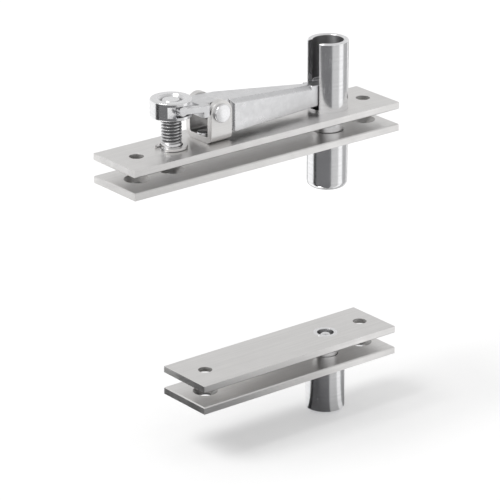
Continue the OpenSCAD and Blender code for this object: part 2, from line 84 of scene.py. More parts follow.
# Axes and pitch that the frame's joints give
SCREW_X = JOINTS["screw_spin"]["pos_m"][0]
FULCRUM_X, _, FULCRUM_Z = JOINTS["lever_tilt"]["pos_m"]
THREAD_PITCH = JOINTS["nut_travel"]["range_m"][1] / (JOINTS["screw_spin"]["range_deg"][1] / 360)

# How finely curves are drawn
SIDE_STEPS = 24                     # along a side of a plate's cell
TURN_STEPS = 4 * SIDE_STEPS         # once round
HALF_STEPS = SIDE_STEPS // 2        # a pin's nose, half a ball and the guide tube's sill
TRACK_STEPS = 2 * SIDE_STEPS // 3   # across a race's track
ROUND_STEPS = 5                     # round an edge
BEVEL_STEPS = 3                     # round an edge of a copied piece
FACE_REACH = 2 * MM                 # how far an edge's profile is drawn over the faces, to round it

# How meshes are cleaned and shaded
WELD = 1e-7                         # points nearer than this are one
COPY_WELD = 0.06 * MM               # the same in a copy of a frame node
COPY_FLAT = math.radians(0.6)       # a copy's faces that meet flatter than this become one
COPY_SHARP = math.radians(28)       # a copy's edges that are sharper than this are rounded
SHADE_SHARP = math.radians(42)      # edges that are sharper than this stay sharp in shading

# Fits in the plates, the same as the frame's
PLACE_DIGITS = 6                    # decimals to which holes of two bolt patterns are one
SCREW_GAP = 0.15 * MM               # round the lift screw in its plate
SCREW_LAND = 0.2 * MM               # straight rim of the screw's head
HEAD_REST = 0.5 * MM                # the plate's thickness less the height of the head's cone
HEAD_LIFT = 0.1 * MM                # how far the head's cone ends below the end of its seat
RIVET_R = 1.5 * MM
RIVET_SINK = 1 * MM                 # depth of a rivet's countersink, and how much wider it is
RIM_GAP = 0.2 * MM                  # round the sleeve in the floor plate
BRACKET_T = 2.4 * MM                # thickness of the bracket's sheet

# Tubes and cups
CUP_ROUND = 2.4 * MM                # rounding of a cup's foot
CUP_FLOOR = 2 * MM                  # least thickness of the top cup's floor
DRILL_SLOPE = math.radians(31)      # slope of the cone that a drill leaves
PIN_HOLE_FLOOR = 1.5 * MM           # left under the pin's hole in the floor cup
TUBE_RIM = 0.45 * MM                # rounding of the guide tube's rim
SLOT_SILL = 0.8 * MM                # height of the guide tube's slot over the plate
SLEEVE_LIP = 0.35 * MM              # rounding of the sleeve's foot

# Pins and rivets
HEAD_OVER = 1.2 * MM                # how far the fulcrum pin's head stands out from its shank
HEAD_THICKNESS = 1.2 * MM
HEAD_ROUND = 0.5 * MM
PEEN_OVER = 0.6 * MM                # the same for its peened end
PEEN_THICKNESS = 0.8 * MM
PEEN_ROUND = 0.55 * MM
DIMPLE_MOUTH = (0.9 * MM, 0.3 * MM)     # the peening tool's dimple: radius and rounding at its mouth
DIMPLE_FLOOR = (0.5 * MM, 0.2 * MM)     # and at its floor
DIMPLE_DEPTH = 0.35 * MM
RIVET_DOME = 0.4 * MM               # rounding of a rivet's head

# Lift screw and nut
SOCKET_DEPTH = 2.6 * MM
SOCKET_POINT = 0.8 * MM             # depth of the cone in the socket's floor
GROOVE_DEPTH = 0.8 * MM             # the clip's groove
GROOVE_PLAY = 0.1 * MM
THREAD_START = 0.6 * MM             # plain shank over the clip
THREAD_DEPTH = 0.61 * THREAD_PITCH
THREAD_CLEARANCE = 0.06 * MM
THREAD_POINT = 0.8 * MM             # bevel at the screw's tip
TAP_R = 3.4 * MM                    # radius that the nut is drilled to
NUT_LIP = 0.4 * MM                  # rounding of the nut's rims
NUT_MOUTH = 1 * MM                  # bevel of the nut's bore at the top
NUT_FOOT = 0.5 * MM                 # and at the foot

# Thrust bearing
BALL_COUNT = 12
BALL_PLAY = 0.05 * MM
RACE_EDGE = 0.12 * MM

# Wear, grime and painted shade that the pieces carry, from 0 to 1
CREST_SHARE = 0.1                   # part of the thread's depth that counts as its crest
CREST_WEAR = 0.7
THREAD_GRIME_AND_SHADE = 1.5                  # grime and painted shade towards the thread's roots: times the share of the thread's depth, up to 1
BORE_GRIME_AND_SHADE = 0.7                    # grime and painted shade in a turned bore
HOLE_GRIME_AND_SHADE = 0.4                    # grime and painted shade in a plate's hole

# Patterns of the metals: noise cells to the metre, along X, Y and Z where there are three
BRUSH_FINE = (60, 4200, 4200)       # the brush lines
BRUSH_SLOW = (22, 900, 900)         # and their change from one to the next
BRUSH_MIX = 0.55                    # share of the fine grain in the brushed tone
SCRATCH_CELLS = (6, 800, 800)
SCRATCHES = ((0.22, (0, 0, 0)), (-0.35, (0.31, 0.17, 0.23)))     # turn and start of each set
SCRATCH_WIDTH = 0.006               # how near its middle value the noise draws a scratch
PATCH_CELLS, PATCH_RANGE = 210, (0.54, 0.66)        # where there are scratches
SMUDGE_CELLS, SMUDGE_RANGE = 130, (0.38, 0.66)
WEAR_CELLS, WEAR_RANGE = 900, (0.32, 0.62)
CAST_WAVES, CAST_GRAIN, CAST_TONE = 240, 2600, 420
WAVE_HEIGHT = 2                     # of the waves in a cast skin, to its grain
RING_PITCH_HOLE, RING_PITCH_TURNED = 0.09 * MM, 0.12 * MM       # the cutting tool's advance
BAND_SCALE = 0.14                   # slow bands to a ring
# how deep each pattern is
BRUSH_DEPTH, TURNED_DEPTH, CAST_DEPTH, STAMPED_DEPTH = 4e-6, 0.5e-6, 5e-6, 3e-6

# How far the patterns change a metal's own colour and roughness, as factors
TONE_RANGE = (0.3, 0.7)             # what a tone's noise mostly lies between
TONE_COLOUR, TONE_ROUGH = (0.93, 1.03), (1.12, 0.9)
WORN_COLOUR, WORN_ROUGH = 1.12, 0.6
SMUDGE_ROUGH, SCRATCH_ROUGH = 1.3, 1.9
# colour factor where grime and painted shade darken threads, bores and holes
GRIME_AND_SHADE_COLOUR = 0.22
GRIME_ROUGH = 0.5                   # the dirt's own roughness
CUT_RANGE = (0.4, 0.6)              # from a plate's face into a hole that a tool has cut

# Stage
KEY_TURN, KEY_HEIGHT = math.radians(-62), math.radians(56)
FLOOR_LIFT = 0.2                    # glow that the camera and reflections see on the floor
FLOOR_SIZE, FLOOR_POINTS = 4, 9
FLOOR_GAP = 0.1 * MM                # under the hinge's foot
CARD_INNER, CARD_OUTER = 10 * MM, 1.5   # the cards' ends, from the pins' axis
VIEW_HALF = 0.098                   # half the width that the camera takes in
CLIP_NEAR, CLIP_FAR = 0.01, 20
SKY_LOW, SKY_HIGH = 1.15, 0.8       # the room's light at the horizon and overhead, as factors
SKY_EVEN = 0.9                      # sine of the height from which the room is even
# turn from the camera's azimuth and half width, in degrees, and the setting with the card's colour
CARDS = {
    "card_front": (-22, 44, "card"),
    "card_left": (-75.5, 9.5, "dark_card"),
    "card_back": (180, 28, "card"),
    "card_right": (115, 21, "light_card"),
    "card_near_right": (43.5, 21.5, "pale_card"),
}


# ---- Settings a user would change ----

class HingeSizes(bpy.types.PropertyGroup):
    """Sizes of the details that the finished pieces add to the frame"""
    edge: bpy.props.FloatProperty(
        name="Edge rounding", description="Radius of a machined edge", unit="LENGTH",
        default=0.15 * MM, min=0.02 * MM, max=0.4 * MM, precision=5)
    cast_edge: bpy.props.FloatProperty(
        name="Cast edge rounding", description="Radius of an edge of the cast lever", unit="LENGTH",
        default=0.32 * MM, min=0.05 * MM, max=0.6 * MM, precision=5)
    plate_bevel: bpy.props.FloatProperty(
        name="Plate bevel", description="Bevel round the show face of a plate", unit="LENGTH",
        default=0.4 * MM, min=0.1 * MM, max=0.8 * MM, precision=5)
    sink_d: bpy.props.FloatProperty(
        name="Countersink", description="Diameter of a wood screw's countersink", unit="LENGTH",
        default=10 * MM, min=7 * MM, max=10.5 * MM, precision=5)
    lead_in: bpy.props.FloatProperty(
        name="Lead-in", description="Bevel at the mouth of the top cup", unit="LENGTH",
        default=0.6 * MM, min=0.2 * MM, max=0.9 * MM, precision=5)
    run_fit: bpy.props.FloatProperty(
        name="Running fit", description="Radial clearance of a shaft in its bore", unit="LENGTH",
        default=0.1 * MM, min=0.05 * MM, max=0.15 * MM, precision=5)
    screw_d: bpy.props.FloatProperty(
        name="Lift screw", description="Nominal diameter of the lift screw", unit="LENGTH",
        default=8 * MM, min=6 * MM, max=8 * MM, precision=5)
    socket_af: bpy.props.FloatProperty(
        name="Socket", description="Width across flats of the screw's hex socket", unit="LENGTH",
        default=5 * MM, min=4 * MM, max=5 * MM, precision=5)
    nut_slot: bpy.props.FloatProperty(
        name="Nut slot", description="Depth of the slot in each side of the lift nut", unit="LENGTH",
        default=2.5 * MM, min=1.8 * MM, max=2.6 * MM, precision=5)
    nut_flange: bpy.props.FloatProperty(
        name="Nut flange", description="Thickness of the nut over and under its slots", unit="LENGTH",
        default=1.3 * MM, min=1 * MM, max=2 * MM, precision=5)
    guide_slot: bpy.props.FloatProperty(
        name="Guide slot", description="Width of the slot in the guide tube", unit="LENGTH",
        default=6.7 * MM, min=5.7 * MM, max=7.7 * MM, precision=5)


class HingeFinish(bpy.types.PropertyGroup):
    """Colours and roughness of the metals"""
    satin: bpy.props.FloatVectorProperty(
        name="Satin steel", description="Colour of the brushed plates", subtype="COLOR",
        size=3, default=(0.80, 0.79, 0.78), min=0, max=1)
    satin_rough: bpy.props.FloatProperty(
        name="Satin roughness", description="Roughness of the brushed plates", subtype="FACTOR",
        default=0.30, min=0, max=1)
    polished: bpy.props.FloatVectorProperty(
        name="Polished steel", description="Colour of the turned and polished pieces",
        subtype="COLOR", size=3, default=(0.88, 0.88, 0.89), min=0, max=1)
    polished_rough: bpy.props.FloatProperty(
        name="Polished roughness", description="Roughness of the polished pieces",
        subtype="FACTOR", default=0.17, min=0, max=1)
    cast: bpy.props.FloatVectorProperty(
        name="Plated casting", description="Colour of the nickel-plated lever", subtype="COLOR",
        size=3, default=(0.76, 0.76, 0.77), min=0, max=1)
    cast_rough: bpy.props.FloatProperty(
        name="Casting roughness", description="Roughness of the lever", subtype="FACTOR",
        default=0.27, min=0, max=1)
    brass: bpy.props.FloatVectorProperty(
        name="Brass", description="Colour of the ball cage", subtype="COLOR",
        size=3, default=(0.80, 0.62, 0.30), min=0, max=1)
    brass_rough: bpy.props.FloatProperty(
        name="Brass roughness", description="Roughness of the ball cage", subtype="FACTOR",
        default=0.30, min=0, max=1)
    wear: bpy.props.FloatProperty(
        name="Wear", description="How far edges are rubbed bright", subtype="FACTOR",
        default=0.5, min=0, max=1)


class HingeStage(bpy.types.PropertyGroup):
    """Floor, light and camera"""
    floor: bpy.props.FloatVectorProperty(
        name="Floor", description="Colour of the floor", subtype="COLOR",
        size=3, default=(0.86, 0.86, 0.86), min=0, max=1)
    card: bpy.props.FloatVectorProperty(
        name="Cards", description="Colour of the wide cards that polished metal reflects",
        subtype="COLOR", size=3, default=(0.17, 0.17, 0.175), min=0, max=1)
    dark_card: bpy.props.FloatVectorProperty(
        name="Dark card", description="Colour of the narrow card on the camera's left",
        subtype="COLOR", size=3, default=(0.03, 0.03, 0.031), min=0, max=1)
    light_card: bpy.props.FloatVectorProperty(
        name="Light card", description="Colour of the card on the camera's right",
        subtype="COLOR", size=3, default=(0.45, 0.45, 0.455), min=0, max=1)
    pale_card: bpy.props.FloatVectorProperty(
        name="Pale card", description="Colour of the card between the camera and its right",
        subtype="COLOR", size=3, default=(0.62, 0.62, 0.62), min=0, max=1)
    key: bpy.props.FloatProperty(
        name="Key light", description="Strength of the key light in W/m2", default=1.2, min=0)
    key_spread: bpy.props.FloatProperty(
        name="Key softness", description="Width of the key light as the hinge sees it",
        subtype="ANGLE", default=math.radians(28), min=0, max=math.pi)
    sky: bpy.props.FloatProperty(
        name="Room light", description="Brightness of the room overhead", default=0.76, min=0)
    lens: bpy.props.FloatProperty(
        name="Lens", description="Focal length of the camera in millimetres", default=220, min=50)
    azimuth: bpy.props.FloatProperty(
        name="Azimuth", description="Turn of the camera about the hinge", subtype="ANGLE",
        default=math.radians(-38.5))
    elevation: bpy.props.FloatProperty(
        name="Elevation", description="Height of the camera over the horizon", subtype="ANGLE",
        default=math.radians(21.3))


# ---- Outlines and grids ----

def node_box(node):
    """Lowest and highest corner of a frame node, as two arrays."""
    return tuple(np.array(corner, float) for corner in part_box(node))


def upright(node):
    """Radius, foot and top of a frame node that is round about a vertical axis."""
    low, high = node_box(node)
    return (high[0] - low[0]) / 2, low[2], high[2]


def bore_for(node, sizes):
    """Radius of the bore that a frame node turns or slides in."""
    return upright(node)[0] + sizes.run_fit


def rounded(corners):
    """Rounds an open outline. Each corner is (across, along, radius). A corner with a radius becomes
    an arc that touches both sides at radius / tan(half its angle), drawn by turning evenly from one
    side's normal to the other's. Returns the points and a mask that is 1 in the middle of an arc."""
    corners = np.asarray(corners, float)
    points, masks = [corners[:1, :2]], [np.zeros(1)]
    share = np.linspace(0, 1, ROUND_STEPS + 1)[:, None]
    for before, (x, y, radius), after in zip(corners[:-2, :2], corners[1:-1], corners[2:, :2]):
        here = np.array([x, y])
        if radius <= 0:
            points.append(here[None])
            masks.append(np.zeros(1))
            continue
        back, ahead = before - here, after - here
        back, ahead = back / np.linalg.norm(back), ahead / np.linalg.norm(ahead)
        half = math.acos(np.clip(back @ ahead, -1, 1)) / 2
        bisector = (back + ahead) / np.linalg.norm(back + ahead)
        centre = here + bisector * radius / math.sin(half)
        start = here + back * radius / math.tan(half) - centre
        end = here + ahead * radius / math.tan(half) - centre
        turn = math.pi - 2 * half
        curve = (np.sin((1 - share) * turn) * start + np.sin(share * turn) * end) / math.sin(turn)
        points.append(centre + curve)
        masks.append(np.sin(share[:, 0] * math.pi))
    points.append(corners[-1:, :2])
    masks.append(np.zeros(1))
    return np.concatenate(points), np.concatenate(masks)


def arc(centre, radius, start, end, steps):
    """Points of an arc: centre + radius * (cos angle, sin angle), with even angles."""
    angles = np.linspace(start, end, steps)
    return np.stack([centre[0] + radius * np.cos(angles), centre[1] + radius * np.sin(angles)], axis=-1)


def along(profile):
    """Distance from the start of a profile to each of its points."""
    return np.concatenate([[0], np.cumsum(np.linalg.norm(np.diff(profile, axis=0), axis=1))])


def round_angles():
    """Even angles once round, with the first repeated at the end."""
    return np.linspace(0, 2 * math.pi, TURN_STEPS + 1)


def revolve(radii, heights, angles, centre=(0, 0)):
    """Points at (centre + radius * (cos angle, sin angle), height). Radii and heights hold one value
    for each point of a profile, or one row of them for each step round. Angles hold one value for
    each step, or a row of them."""
    angles = angles.reshape(len(angles), -1)
    shape = (len(angles), np.shape(radii)[-1])
    radii, heights = np.broadcast_to(radii, shape), np.broadcast_to(heights, shape)
    x, y = centre[0] + radii * np.cos(angles), centre[1] + radii * np.sin(angles)
    return np.stack([x, y, heights], axis=-1)


def at_height(points, z):
    """Points of a plane, brought to a height."""
    return np.concatenate([points, np.full((*points.shape[:-1], 1), z)], axis=-1)


def patch(points, worn=0.0, ring=0.0, cut=0.0):
    """A grid of points, with three values at each: how exposed its edge is to wear, its distance
    along a lathe's cut, and how far it is part of a plate's cut hole, or on other pieces how far it
    is darkened by dirt and painted shade."""
    return points, [np.broadcast_to(np.asarray(v, float), points.shape[:2]) for v in (worn, ring, cut)]


def flat_patch(xs, ys, z):
    """A level grid over all pairs of the xs and ys."""
    return patch(at_height(np.stack(np.meshgrid(xs, ys, indexing="ij"), axis=-1), z))


def lathed(profile, worn, centre=(0, 0), cut=0.0):
    """The patch that a profile of (radius, height) sweeps about a vertical axis."""
    points = revolve(profile[:, 0], profile[:, 1], round_angles(), centre)
    return patch(points, worn, along(profile), cut)


def turned(corners, centre=(0, 0), bore_r=-1.0):
    """The patch of a rounded profile of (radius, height, rounding). A bore is darker and duller than
    the rest, with dirt and painted shade: its profile starts inside, and ends where it leaves bore_r."""
    profile, worn = rounded(corners)
    inside = np.maximum.accumulate(profile[:, 0]) < bore_r + WELD
    return lathed(profile, worn, centre, BORE_GRIME_AND_SHADE * inside)


def laid_along_y(upright_patch, centre):
    """Turns a patch made about the Z axis onto the Y axis: (x, y, z) goes to (x, z, -y)."""
    points, values = upright_patch
    x, y, z = np.moveaxis(points, -1, 0)
    return np.stack([x + centre[0], z + centre[1], centre[2] - y], axis=-1), values


# ---- Meshes and pieces ----

def store_values(mesh, values):
    """Keeps a patch's three values at the points of a mesh, where the metals read them."""
    for name, column in zip(("worn", "ring", "cut"), values):
        mesh.attributes.new(name, "FLOAT", "POINT").data.foreach_set("value", column)


def join_patches(name, patches):
    """One closed mesh from several grids: each cell of a grid is a quad, points that fall together
    are welded, cells without area vanish with them, and all faces are turned outwards."""
    quads, start = [], 0
    for points, _ in patches:
        rows, columns = points.shape[:2]
        index = np.arange(rows * columns).reshape(rows, columns) + start
        corners = [index[:-1, :-1], index[1:, :-1], index[1:, 1:], index[:-1, 1:]]
        quads.append(np.stack(corners, axis=-1).reshape(-1, 4))
        start += rows * columns
    quads = np.concatenate(quads)
    mesh = bpy.data.meshes.new(name)
    mesh.vertices.add(start)
    mesh.vertices.foreach_set("co", np.concatenate([points.ravel() for points, _ in patches]))
    mesh.loops.add(quads.size)
    mesh.loops.foreach_set("vertex_index", quads.ravel())
    mesh.polygons.add(len(quads))
    mesh.polygons.foreach_set("loop_start", np.arange(len(quads)) * 4)
    columns = zip(*(values for _, values in patches))
    store_values(mesh, [np.concatenate([part.ravel() for part in column]) for column in columns])
    mesh.update(calc_edges=True)
    shape = bmesh.new()
    shape.from_mesh(mesh)
    bmesh.ops.remove_doubles(shape, verts=shape.verts, dist=WELD)
    bmesh.ops.recalc_face_normals(shape, faces=shape.faces)
    shape.to_mesh(mesh)
    shape.free()
    return mesh


def softened_copy(node, width):
    """A welded copy of a frame node's mesh whose flat faces are made whole and whose sharp edges are
    rounded. Points in the middle of a rounding are marked as worn, and each point's lathe distance
    is its height plus its distance from the node's middle."""
    shape = bmesh.new()
    shape.from_mesh(frame["nodes"][node].data)
    bmesh.ops.remove_doubles(shape, verts=shape.verts, dist=COPY_WELD)
    bmesh.ops.dissolve_limit(shape, angle_limit=COPY_FLAT, verts=shape.verts, edges=shape.edges)
    edges = [e for e in shape.edges if e.is_convex and e.calc_face_angle() > COPY_SHARP]
    made = bmesh.ops.bevel(shape, geom=edges, offset=width, segments=BEVEL_STEPS, profile=0.5,
                           affect="EDGES", clamp_overlap=False, miter_outer="SHARP")
    rounding = set(made["faces"])
    worn = np.array([all(f in rounding for f in v.link_faces) for v in shape.verts], float)
    mesh = bpy.data.meshes.new(node)
    shape.to_mesh(mesh)
    shape.free()
    points = np.empty(len(mesh.vertices) * 3)
    mesh.vertices.foreach_get("co", points)
    offset = points.reshape(-1, 3) - sum(node_box(node)) / 2
    ring = offset[:, 2] + np.hypot(offset[:, 0], offset[:, 1])
    store_values(mesh, (worn, ring, np.zeros(len(ring))))
    return mesh


def new_object(name, data):
    """A new object in the scene, at the origin."""
    thing = bpy.data.objects.new(name, data)
    bpy.context.scene.collection.objects.link(thing)
    return thing


def finish_piece(node, mesh, material):
    """Puts a mesh in place of its frame node: smooth, with normals that follow the larger faces,
    riding on the node's body and carrying the material given."""
    mesh.name = node + "_finished"
    mesh.polygons.foreach_set("use_smooth", np.ones(len(mesh.polygons), bool))
    mesh.set_sharp_from_angle(angle=SHADE_SHARP)
    mesh.materials.append(material)
    piece = new_object(node + "_finished", mesh)
    normals = piece.modifiers.new("Flat faces stay flat", "WEIGHTED_NORMAL")
    normals.keep_sharp = True
    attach(piece, BODY_OF[node])
    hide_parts(node)


# ---- Plates ----

def outline(bounds, half_w):
    """Points once round a rectangle whose long sides are divided at the bounds, from its corner
    (last bound, -half_w) and back to it, with SIDE_STEPS steps along each part and each end."""
    share = np.linspace(0, 1, SIDE_STEPS + 1)
    run = [a + (b - a) * share[:-1] for a, b in zip(bounds[:-1], bounds[1:])]
    run = np.concatenate([*run, bounds[-1:]])
    rise = (half_w * (2 * share - 1))[:-1]
    x = [np.full(SIDE_STEPS, bounds[-1]), run[:0:-1], np.full(SIDE_STEPS, bounds[0]), run]
    y = [rise, np.full(len(run) - 1, half_w), -rise, np.full(len(run), -half_w)]
    return np.stack([np.concatenate(x), np.concatenate(y)], axis=-1)


def rim_profile(low, high, side, sizes):
    """A plate's edge from its lower face to its upper one, as (distance in from the side, height),
    bevelled at the show face. Side is 1 if the show face is the upper one, and -1 if it isn't."""
    bevel, edge = sizes.plate_bevel, sizes.edge
    show_z, back_z = (high, low) if side > 0 else (low, high)
    corners = [(FACE_REACH, back_z, 0), (0, back_z, edge), (0, show_z - side * bevel, edge / 2),
               (bevel, show_z, edge / 2), (bevel + FACE_REACH, show_z, 0)]
    profile, worn = rounded(corners if side > 0 else corners[::-1])
    return profile[1:-1], worn[1:-1]


def hole_profile(steps, show_z, side):
    """A hole's profile from the plate's lower face to its upper one. Steps are (radius, depth from
    the show face, rounding), from the show face on, and side is as in rim_profile."""
    corners = [(r, show_z - side * depth, rounding) for r, depth, rounding in steps]
    ends = [(corners[i][0] + FACE_REACH, corners[i][1], 0) for i in (0, -1)]
    corners = [ends[0], *corners, ends[1]]
    profile, worn = rounded(corners if side < 0 else corners[::-1])
    return profile[1:-1], worn[1:-1]


def plate_cells(x0, x1, half_w, holes, least):
    """Divides a plate along its length. The cell of a hole is as long as the plate is wide, or
    reaches halfway to the next hole, and what is left between two of them is a plain cell if it is
    longer than least. Returns the bounds of the cells, and the hole or None of each."""
    holes = sorted(holes, key=lambda hole: hole[0])
    bounds, cells = [x0], []
    for i, (x, steps) in enumerate(holes):
        before = holes[i - 1][0] if i else 2 * x0 - x
        after = holes[i + 1][0] if i + 1 < len(holes) else 2 * x1 - x
        left, right = max(x - half_w, (before + x) / 2), min(x + half_w, (x + after) / 2)
        if left - bounds[-1] > least:
            cells.append(None)
            bounds.append(left)
        cells.append((x, steps))
        bounds.append(right)
    if x1 - bounds[-1] > least:
        cells.append(None)
        bounds.append(x1)
    bounds[-1] = x1
    return bounds, cells


def cell_patches(cell, spans, show_z, side):
    """The patches of one cell, whose spans are the (start, end, half width, height) of its lower and
    upper face. A plain cell is a flat grid on each face. A cell with a hole is one grid from its
    lower outline through the hole to its upper outline."""
    if cell is None:
        share = np.linspace(0, 1, SIDE_STEPS + 1)
        return [flat_patch(a + (b - a) * share, width * (2 * share - 1), z) for a, b, width, z in spans]
    x, steps = cell
    profile, worn = hole_profile(steps, show_z, side)
    lining = revolve(profile[:, 0], profile[:, 1], round_angles() - math.pi / 4, (x, 0))
    lower, upper = (at_height(outline(np.array([a, b]), width), z)[:, None] for a, b, width, z in spans)
    points = np.concatenate([lower, lining, upper], axis=1)
    cut = np.pad(np.ones(len(profile) - 2), 2)
    return [patch(points, np.pad(worn, 1), np.pad(along(profile), 1, mode="edge"), cut)]


def plate_mesh(node, side, holes, sizes):
    """A plate as cells along its length, with its outline carried through the profile of its rim.
    Holes are (x, steps)."""
    (x0, y0, z0), (x1, y1, z1) = node_box(node)
    half_w = (y1 - y0) / 2
    rim, rim_worn = rim_profile(z0, z1, side, sizes)
    bounds, cells = plate_cells(x0, x1, half_w, holes, sizes.edge)

    def drawn_in(inset):
        """The cells' bounds and half width, inside a rim as wide as the inset."""
        ends = np.array(bounds)
        ends[0] += inset
        ends[-1] -= inset
        return ends, half_w - inset

    patches = []
    faces = [(*drawn_in(inset), z) for inset, z in ((rim[0, 0], z0), (rim[-1, 0], z1))]
    for i, cell in enumerate(cells):
        spans = [(ends[i], ends[i + 1], width, z) for ends, width, z in faces]
        patches += cell_patches(cell, spans, z1 if side > 0 else z0, side)
    points = np.stack([at_height(outline(*drawn_in(inset)), z) for inset, z in rim], axis=1)
    return join_patches(node, [*patches, patch(points, rim_worn)])


def plate_thickness():
    """The thickness that the four plates share."""
    low, high = node_box("jamb_plate")
    return high[2] - low[2]


def bolt_places(mount):
    """X of each hole of a bolt pattern, and the radius of its holes."""
    dims, middle = MOUNTS[mount]["dims"], MOUNTS[mount]["pos_m"][0]
    steps = np.arange(dims["count"]) - (dims["count"] - 1) / 2
    return middle + steps * dims["spacing_x_mm"] * MM, dims["hole_r_mm"] * MM


def rivet_places():
    """X of the two rivets: their heads' outer edges are the ends of the rivets' box."""
    low, high = node_box("bracket_rivets")
    head_r = (high[1] - low[1]) / 2
    return low[0] + head_r, high[0] - head_r


def wood_screw_holes(mounts, sizes):
    """Countersunk holes at the places of the bolt patterns given, each place once."""
    edge, sink_r = sizes.edge, sizes.sink_d / 2
    places = {round(float(x), PLACE_DIGITS) for mount in mounts for x in bolt_places(mount)[0]}
    hole_r = bolt_places(mounts[0])[1]
    steps = [(sink_r, 0, edge / 2), (hole_r, sink_r - hole_r, edge / 2),
             (hole_r, plate_thickness(), edge)]
    return [(x, steps) for x in sorted(places)]


def seat_hole(bore_r, outer_r, seat, sizes, lead_in=0.0):
    """The stepped hole that a tube or cup sits in, with a lead-in at the show face if one is given."""
    edge, thickness = sizes.edge, plate_thickness()
    mouth = [(bore_r, 0, edge)]
    if lead_in:
        mouth = [(bore_r + lead_in, 0, edge / 2), (bore_r, lead_in, edge / 2)]
    return [*mouth, (bore_r, thickness - seat, 0), (outer_r, thickness - seat, 0),
            (outer_r, thickness, edge / 2)]


def lift_pin_hole(sizes, lead_in=0.0):
    """The hole for the lift pin, with the seat of the guide tube. The top leaf plate's is the same,
    with the seat of the top cup and a lead-in."""
    tube_r, tube_foot, _ = upright("pin_guide_tube")
    seat = node_box("jamb_plate")[1][2] - tube_foot
    return 0, seat_hole(bore_for("top_pivot_pin", sizes), tube_r, seat, sizes, lead_in)


def jamb_holes(sizes):
    """Holes of the jamb plate: wood screws, lift pin, lift screw and rivets."""
    edge, thickness = sizes.edge, plate_thickness()
    head_r = upright("adjusting_screw")[0] + SCREW_GAP
    shank_r = sizes.screw_d / 2 + SCREW_GAP
    screw_hole = [(head_r, 0, edge / 2), (head_r, SCREW_LAND, 0),
                  (shank_r, SCREW_LAND + thickness - HEAD_REST, 0), (shank_r, thickness, edge)]
    rivet_hole = [(RIVET_R + RIVET_SINK, 0, edge / 3), (RIVET_R, RIVET_SINK, 0),
                  (RIVET_R, thickness, edge / 3)]
    return [*wood_screw_holes(["jamb_bolts"], sizes), lift_pin_hole(sizes), (SCREW_X, screw_hole),
            *((x, rivet_hole) for x in rivet_places())]


def top_leaf_holes(sizes):
    """Holes of the top leaf plate: wood screws and lift pin."""
    mounts = ["top_leaf_bolts", "top_leaf_far_bolts"]
    return [*wood_screw_holes(mounts, sizes), lift_pin_hole(sizes, sizes.lead_in)]


def bottom_leaf_holes(sizes):
    """Holes of the bottom leaf plate: wood screws and the sleeve."""
    sleeve_r = upright("bottom_sleeve")[0]
    sleeve_hole = [(sleeve_r, 0, sizes.edge), (sleeve_r, plate_thickness(), sizes.edge / 2)]
    return [*wood_screw_holes(["bottom_leaf_bolts"], sizes), (0, sleeve_hole)]


def floor_holes(sizes):
    """Holes of the floor plate: wood screws, and the sleeve's passage with the floor cup's seat."""
    cup_r, _, cup_top = upright("floor_cup")
    seat = cup_top - node_box("floor_plate")[0][2]
    cup_hole = seat_hole(upright("bottom_sleeve")[0] + RIM_GAP, cup_r, seat, sizes)
    return [*wood_screw_holes(["floor_bolts"], sizes), (0, cup_hole)]


# each plate's side of the show face, as rim_profile takes it, and its holes
PLATES = {
    "jamb_plate": (-1, jamb_holes),
    "top_leaf_plate": (1, top_leaf_holes),
    "bottom_leaf_plate": (-1, bottom_leaf_holes),
    "floor_plate": (1, floor_holes),
}


class HINGE_OT_plates(bpy.types.Operator):
    """Builds the four plates with bevelled rims, countersunk screw holes and seats for the tubes"""
    bl_idname = "hinge.plates"
    bl_label = "Plates"

    def execute(self, context):
        sizes = context.scene.hinge_sizes
        steel = satin_steel(context.scene.hinge_finish)
        for node, (side, holes) in PLATES.items():
            finish_piece(node, plate_mesh(node, side, holes(sizes), sizes), steel)
        return {"FINISHED"}


# ---- Tubes and cups ----

def guide_tube_mesh(sizes):
    """The slotted tube. Round most of the tube, a profile that goes up the outer wall, over the rim
    and down the inner wall is carried from one side of the slot to the other. At each of its points
    the slot begins at the angle asin(half slot / radius), so that the slot's faces are parallel.
    A short second grid fills in below the slot, and a strip closes each of the slot's faces."""
    outer_r, foot, top = upright("pin_guide_tube")
    inner_r = bore_for("top_pivot_pin", sizes)
    slot_z = node_box("jamb_plate")[1][2] + SLOT_SILL
    half_slot = sizes.guide_slot / 2
    (outer, worn), (inner, _) = (
        rounded([(r, foot, 0), (r, slot_z, 0), (r, top, TUBE_RIM), ((outer_r + inner_r) / 2, top, 0)])
        for r in (outer_r, inner_r))
    profile = np.concatenate([outer, inner[::-1][1:], outer[:1]])
    worn = np.concatenate([worn, worn[::-1][1:], worn[:1]])
    opening = np.arcsin(half_slot / profile[:, 0])
    share = np.linspace(0, 1, TURN_STEPS + 1)[:, None]
    # the slot faces -X, so angles are measured from there
    angles = math.pi + opening + (2 * math.pi - 2 * opening) * share
    walls = revolve(profile[:, 0], profile[:, 1], angles)
    # painted shade with grime: the tube's bore is darkened
    patches = [patch(walls, worn, along(profile), BORE_GRIME_AND_SHADE * (profile[:, 0] < inner_r + WELD))]

    sill = np.array([(outer_r, foot), (outer_r, slot_z), (inner_r, slot_z), (inner_r, foot),
                     (outer_r, foot)])
    share = np.linspace(-1, 1, HALF_STEPS + 1)[:, None]
    angles = math.pi + np.arcsin(half_slot / sill[:, 0]) * share
    patches.append(patch(revolve(sill[:, 0], sill[:, 1], angles), 0, along(sill)))

    count = len(outer)
    for column in (walls[0], walls[-1]):
        patches.append(patch(np.stack([column[1:count], column[count - 1:2 * count - 2][::-1]])))
    return join_patches("pin_guide_tube", patches)


